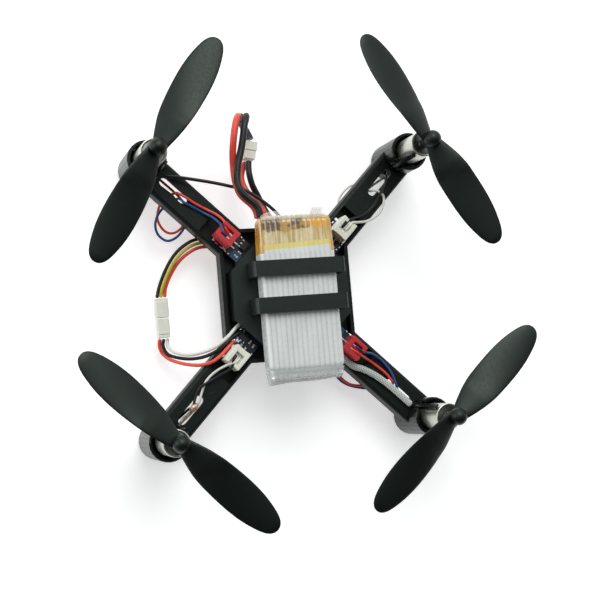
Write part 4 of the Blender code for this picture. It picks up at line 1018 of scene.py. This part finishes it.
def motor_connectors():
    """The header on each lobe of the board, the plug pushed down on it and the plug's contacts."""
    for corner, azimuth in CORNERS.items():
        colour = "red" if corner in CLOCKWISE else "cream"
        shell, slot = LOOKS[f"{colour}_shell"], f"connector_{colour}"
        header, plug, contacts = (bmesh.new() for _ in range(3))
        add_header(header)
        add_plug(plug)
        for y in (-CONTACT_OFFSET, CONTACT_OFFSET):
            add_box(contacts, (0.0219, y - 0.0002, 0.0077), (0.0232, y + 0.0002, 0.0080))
        for name, bm, look, width, segments in (
            ("board_header", header, shell, 0.00012, 2),
            ("motor_plug", plug, shell, 0.00016, 2),
            ("plug_contacts", contacts, LOOKS["solder"], 0.00005, 1),
        ):
            bmesh.ops.transform(bm, matrix=turned_to(azimuth), verts=bm.verts)
            piece = show(f"{name}_{corner}", bm, look, slot, cad=name == "motor_plug")
            bevel(piece, width, segments)


flight_board()
motor_connectors()


# Receiver module and screws

def receiver_module():
    """Small radio board in a shrunk sleeve that has pulled in over its parts."""
    low, high = corners_of("receiver_module")
    middle, half = (low + high) / 2, (high - low) / 2
    steps, squareness = 40, 0.35
    rings = []
    for step in range(steps + 1):
        share = step / steps
        x = low.x + 2 * half.x * share
        inset = eased(min(share, 1 - share) * 2 * half.x, 0.0008)
        ring = []
        for turn in turns(72):
            cy, cz = (math.copysign(abs(way) ** squareness, way) for way in (math.cos(turn), math.sin(turn)))
            dent = 0.0003 * (0.5 + drift(x * 500, cy * 2.4, cz * 1.2)) if cz < 0 else 0
            y = middle.y + cy * (half.y - inset - 0.0001)
            ring.append((x, y, middle.z + cz * (half.z - inset - dent - 0.00005)))
        rings.append(ring)
    lofted("receiver_module", rings, LOOKS["module"], "module_green", angle=60)


def cage_screws():
    """Screws driven up from below, with threaded shafts and a round recess in their heads."""
    pitch = 0.00045
    for number in range(1, 5):
        name = f"cage_screw_{number}"
        low, high = corners_of(name)
        head = min(0.0014, (high.x - low.x) / 2)
        shaft = head * 0.5
        profile = [(0, high.z), (shaft * 0.8, high.z), (shaft, high.z - 0.0002)]
        height = high.z - 0.0003
        while height - pitch > low.z + 0.0009:
            profile += [(shaft, height), (shaft * 0.82, height - pitch / 2)]
            height -= pitch
        profile += [(shaft, low.z + 0.0008), (head * 0.97, low.z + 0.0006), (head, low.z + 0.0004)]
        profile += [(head * 0.86, low.z + 0.0001), (head * 0.6, low.z)]
        profile += [(head * 0.42, low.z + 0.00002), (head * 0.3, low.z + 0.0004), (0, low.z + 0.0005)]
        bm = bmesh.new()
        add_turned(bm, profile, 40, Matrix.Translation(((low.x + high.x) / 2, (low.y + high.y) / 2, 0)))
        show(name, bm, LOOKS["zinc"], "screw_steel", angle=35)


receiver_module()
cage_screws()


# Battery

def rib(across):
    """Height of the tape's filaments at a distance across them: 0 on a crest, less in a valley."""
    return RIB_DEPTH * (math.sqrt(abs(math.sin(math.pi * across / RIB_PITCH))) - 1)


def wrap_ring(y, inset_x, inset_z, ribs=1.0):
    """Section of the wound battery: a box with rounded edges and ribs that run from front to rear."""
    x0, x1 = WRAP_LOW[0] + inset_x, WRAP_HIGH[0] - inset_x
    z0, z1 = WRAP_LOW[2] + inset_z, WRAP_HIGH[2] - inset_z
    round_x = min(WRAP_EDGE, (x1 - x0) / 2.1)
    round_z = min(WRAP_EDGE, (z1 - z0) / 2.1)
    left, right, lower, upper = x0 + round_x, x1 - round_x, z0 + round_z, z1 - round_z
    middles = ((right, upper), (left, upper), (left, lower), (right, lower))
    ring = []
    for quarter, (x, z) in enumerate(middles):
        # A rounded edge, then the flat that follows it
        after = middles[(quarter + 1) % 4]
        out = math.radians(90 * (quarter + 1))
        count = 30 if quarter % 2 else 150
        stations = [(x, z, math.radians(90 * (quarter + step / 7))) for step in range(8)]
        for step in range(1, count):
            share = step / count
            stations.append((x + (after[0] - x) * share, z + (after[1] - z) * share, out))
        for middle_x, middle_z, turn in stations:
            ring.append(ribbed_point(middle_x + round_x * math.cos(turn), y,
                                     middle_z + round_z * math.sin(turn), turn, ribs))
    return ring


def ribbed_point(x, y, z, turn, ribs):
    """A point of the battery's skin, lifted outwards by the tape's ribs and its unevenness."""
    across = x + 0.0004 * drift(y * 40, 3, z * 50) if abs(math.sin(turn)) > 0.6 else z
    lift = rib(across) * ribs + 0.00014 * drift(x * 260, y * 130, z * 260) - 0.00004
    return Vector((x + lift * math.cos(turn), y, z + lift * math.sin(turn)))


def battery():
    """The wound pouch, its amber cap, and the tape's loose tail, front edge and corner."""
    rounding = [0.00004, 0.0002, 0.0004, 0.0007, 0.0011, 0.0016]
    rear, front = WRAP_LOW[1], WRAP_HIGH[1]
    steps = rounding + [0.0022 + 0.0006 * n for n in range(49)]
    steps = [distance for distance in steps if rear + distance < front - 0.0002] + [front - rear]
    rings = [wrap_ring(rear + d, eased(d, 0.0017), eased(d, 0.0014)) for d in steps]
    lofted("battery_wrap", rings, LOOKS["tape"], "winding_tape", angle=60)

    rings = []
    for distance in [CAP_LENGTH - 0.0004 * n for n in range(20)] + [0.0021, *reversed(rounding)]:
        slope = 0.0004 * (1 - distance / CAP_LENGTH)
        inset_x, inset_z = eased(distance, 0.0019) + slope, eased(distance, 0.0021) + slope / 2
        rings.append(wrap_ring(CAP_FRONT - distance, inset_x, inset_z))
    lofted("battery_cap", rings, LOOKS["amber"], "amber_film", angle=60)

    tape_tail()
    sheet("tape_front", bunched_edge, 70, 14)
    sheet("tape_corner", raised_corner, 14, 10)


def tape_tail():
    """The tape's open end behind the pouch, pressed flat."""
    flat = wrap_ring(WRAP_LOW[1] + 0.0005, 0.0001, 0.00012, 0.2)
    centre = (WRAP_LOW[0] + WRAP_HIGH[0]) / 2
    steps = 18
    rings = []
    for step in range(steps + 1):
        share = step / steps
        squeeze = 1 - 0.62 * share ** 1.4
        middle = 0.0118 - 0.0003 * share
        ring = []
        for point in flat:
            slant = (point.x - WRAP_LOW[0]) * 0.030
            end = TAIL_END + slant + 0.0004 * drift(point.x * 170, 5, 1)
            y = point.y + (end - point.y) * share
            z = middle + (point.z - middle) * squeeze
            z += 0.0005 * share * drift(point.x * 110, y * 90, 2)
            ring.append((centre + (point.x - centre) * (1 - 0.03 * share * share), y, z))
        rings.append(ring)
    lofted("tape_tail", rings, LOOKS["flap"], "winding_tape", cad=False, angle=70)


def bunched_edge(u, v):
    """The tape's bunched edge over the front of the amber cap."""
    x = -0.0086 + 0.0178 * u
    crimp = drift(x * 330, v * 1.6, 4)
    reach = 0.0009 + 0.0009 * u + 0.0003 * drift(x * 110, 7, 1) - 0.0012 * (2 * u - 1) ** 6
    y = 0.0187 + (0.0013 + reach) * v
    z = 0.0149 - 0.0011 * v * v + 0.0003 * crimp * v + rib(x) * 0.8
    return Vector((x, y, z))


def raised_corner(u, v):
    """A corner of the tape that stands up at the right of the cap."""
    x = 0.0046 + 0.0032 * u + 0.0006 * v
    y = 0.0192 + 0.0022 * v
    z = 0.0146 + 0.0009 * v * (1 - 0.6 * u) + 0.00015 * drift(u * 5, v * 5, 9)
    return Vector((x, y, z))


def sheet(name, place, columns, rows):
    """Thin film through the points that a function of two shares gives."""
    bm = bmesh.new()
    grid = [[bm.verts.new(place(i / columns, j / rows)) for i in range(columns + 1)] for j in range(rows + 1)]
    for one, other in zip(grid, grid[1:]):
        for i in range(columns):
            bm.faces.new((one[i], one[i + 1], other[i + 1], other[i]))
    bmesh.ops.solidify(bm, geom=bm.faces[:], thickness=FILM_THICKNESS)
    show(name, bm, LOOKS["film"], "winding_tape", cad=False, angle=80)


battery()


# CAD nodes that keep their shape

def keep_nodes():
    """Materials for the CAD nodes that are shown as they are, with softened edges where they are seen."""
    looks = {"frame": "frame", "battery_cage": "cage", "battery_cell": "pouch"}
    for corner in CORNERS:
        looks[f"brush_cap_{corner}"] = "brush_cap"
        looks[f"magnet_{corner}"] = "magnet"
        looks[f"rotor_{corner}"] = "copper"
    for name, look in looks.items():
        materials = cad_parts[name].data.materials
        materials.clear()
        materials.append(LOOKS[look])
    for name, width in (("frame", 0.00012), ("battery_cage", 0.00018)):
        bevel(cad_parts[name], width, 2, 35)


keep_nodes()


# Floor and light

def floor():
    """Wide pale ground just under the drone."""
    bm = bmesh.new()
    corners = ((-1, -1), (1, -1), (1, 1), (-1, 1))
    bm.faces.new([bm.verts.new((x * FLOOR_HALF, y * FLOOR_HALF, FLOOR_HEIGHT - 0.0001)) for x, y in corners])
    mesh = bpy.data.meshes.new("floor")
    bm.to_mesh(mesh)
    bm.free()
    mesh.materials.append(material("pale_floor", (0.93, 0.93, 0.93), 0.8, vary=0.01, patch=3, grain=60,
                                   bump=0.0, specular=0.1, glow=0.5))
    placed("floor", mesh)


def lights():
    """A studio that is brighter towards the front, with a soft key lamp and a weaker one at the left."""
    world = bpy.data.worlds.new("studio")
    world.use_nodes = True
    tree = world.node_tree
    way = node(tree, "ShaderNodeTexCoord").outputs["Generated"]
    ahead = node(tree, "ShaderNodeSeparateXYZ", {"Vector": way}).outputs["Y"]
    strength = node(tree, "ShaderNodeMapRange", {
        "Value": ahead, "From Min": -0.45, "From Max": 0.6, "To Min": 0.05, "To Max": 0.85,
    }, interpolation_type="SMOOTHSTEP")
    tree.links.new(strength.outputs["Result"], tree.nodes["Background"].inputs["Strength"])
    tree.nodes["Background"].inputs["Color"].default_value = (0.97, 0.99, 1.0, 1)
    bpy.context.scene.world = world
    lamps = (("key", (0.0, 0.55, 0.75), 0.6, 4.2), ("left", (-0.8, 0.15, 0.35), 0.4, 1.6))
    for name, place, size, power in lamps:
        data = bpy.data.lights.new(name, "AREA")
        data.size = size
        data.energy = power
        lamp = placed(name, data)
        lamp.location = place
        lamp.rotation_mode = "QUATERNION"
        lamp.rotation_quaternion = Vector(place).to_track_quat("Z", "Y")
    bpy.context.scene.view_settings.view_transform = "Standard"


floor()
lights()
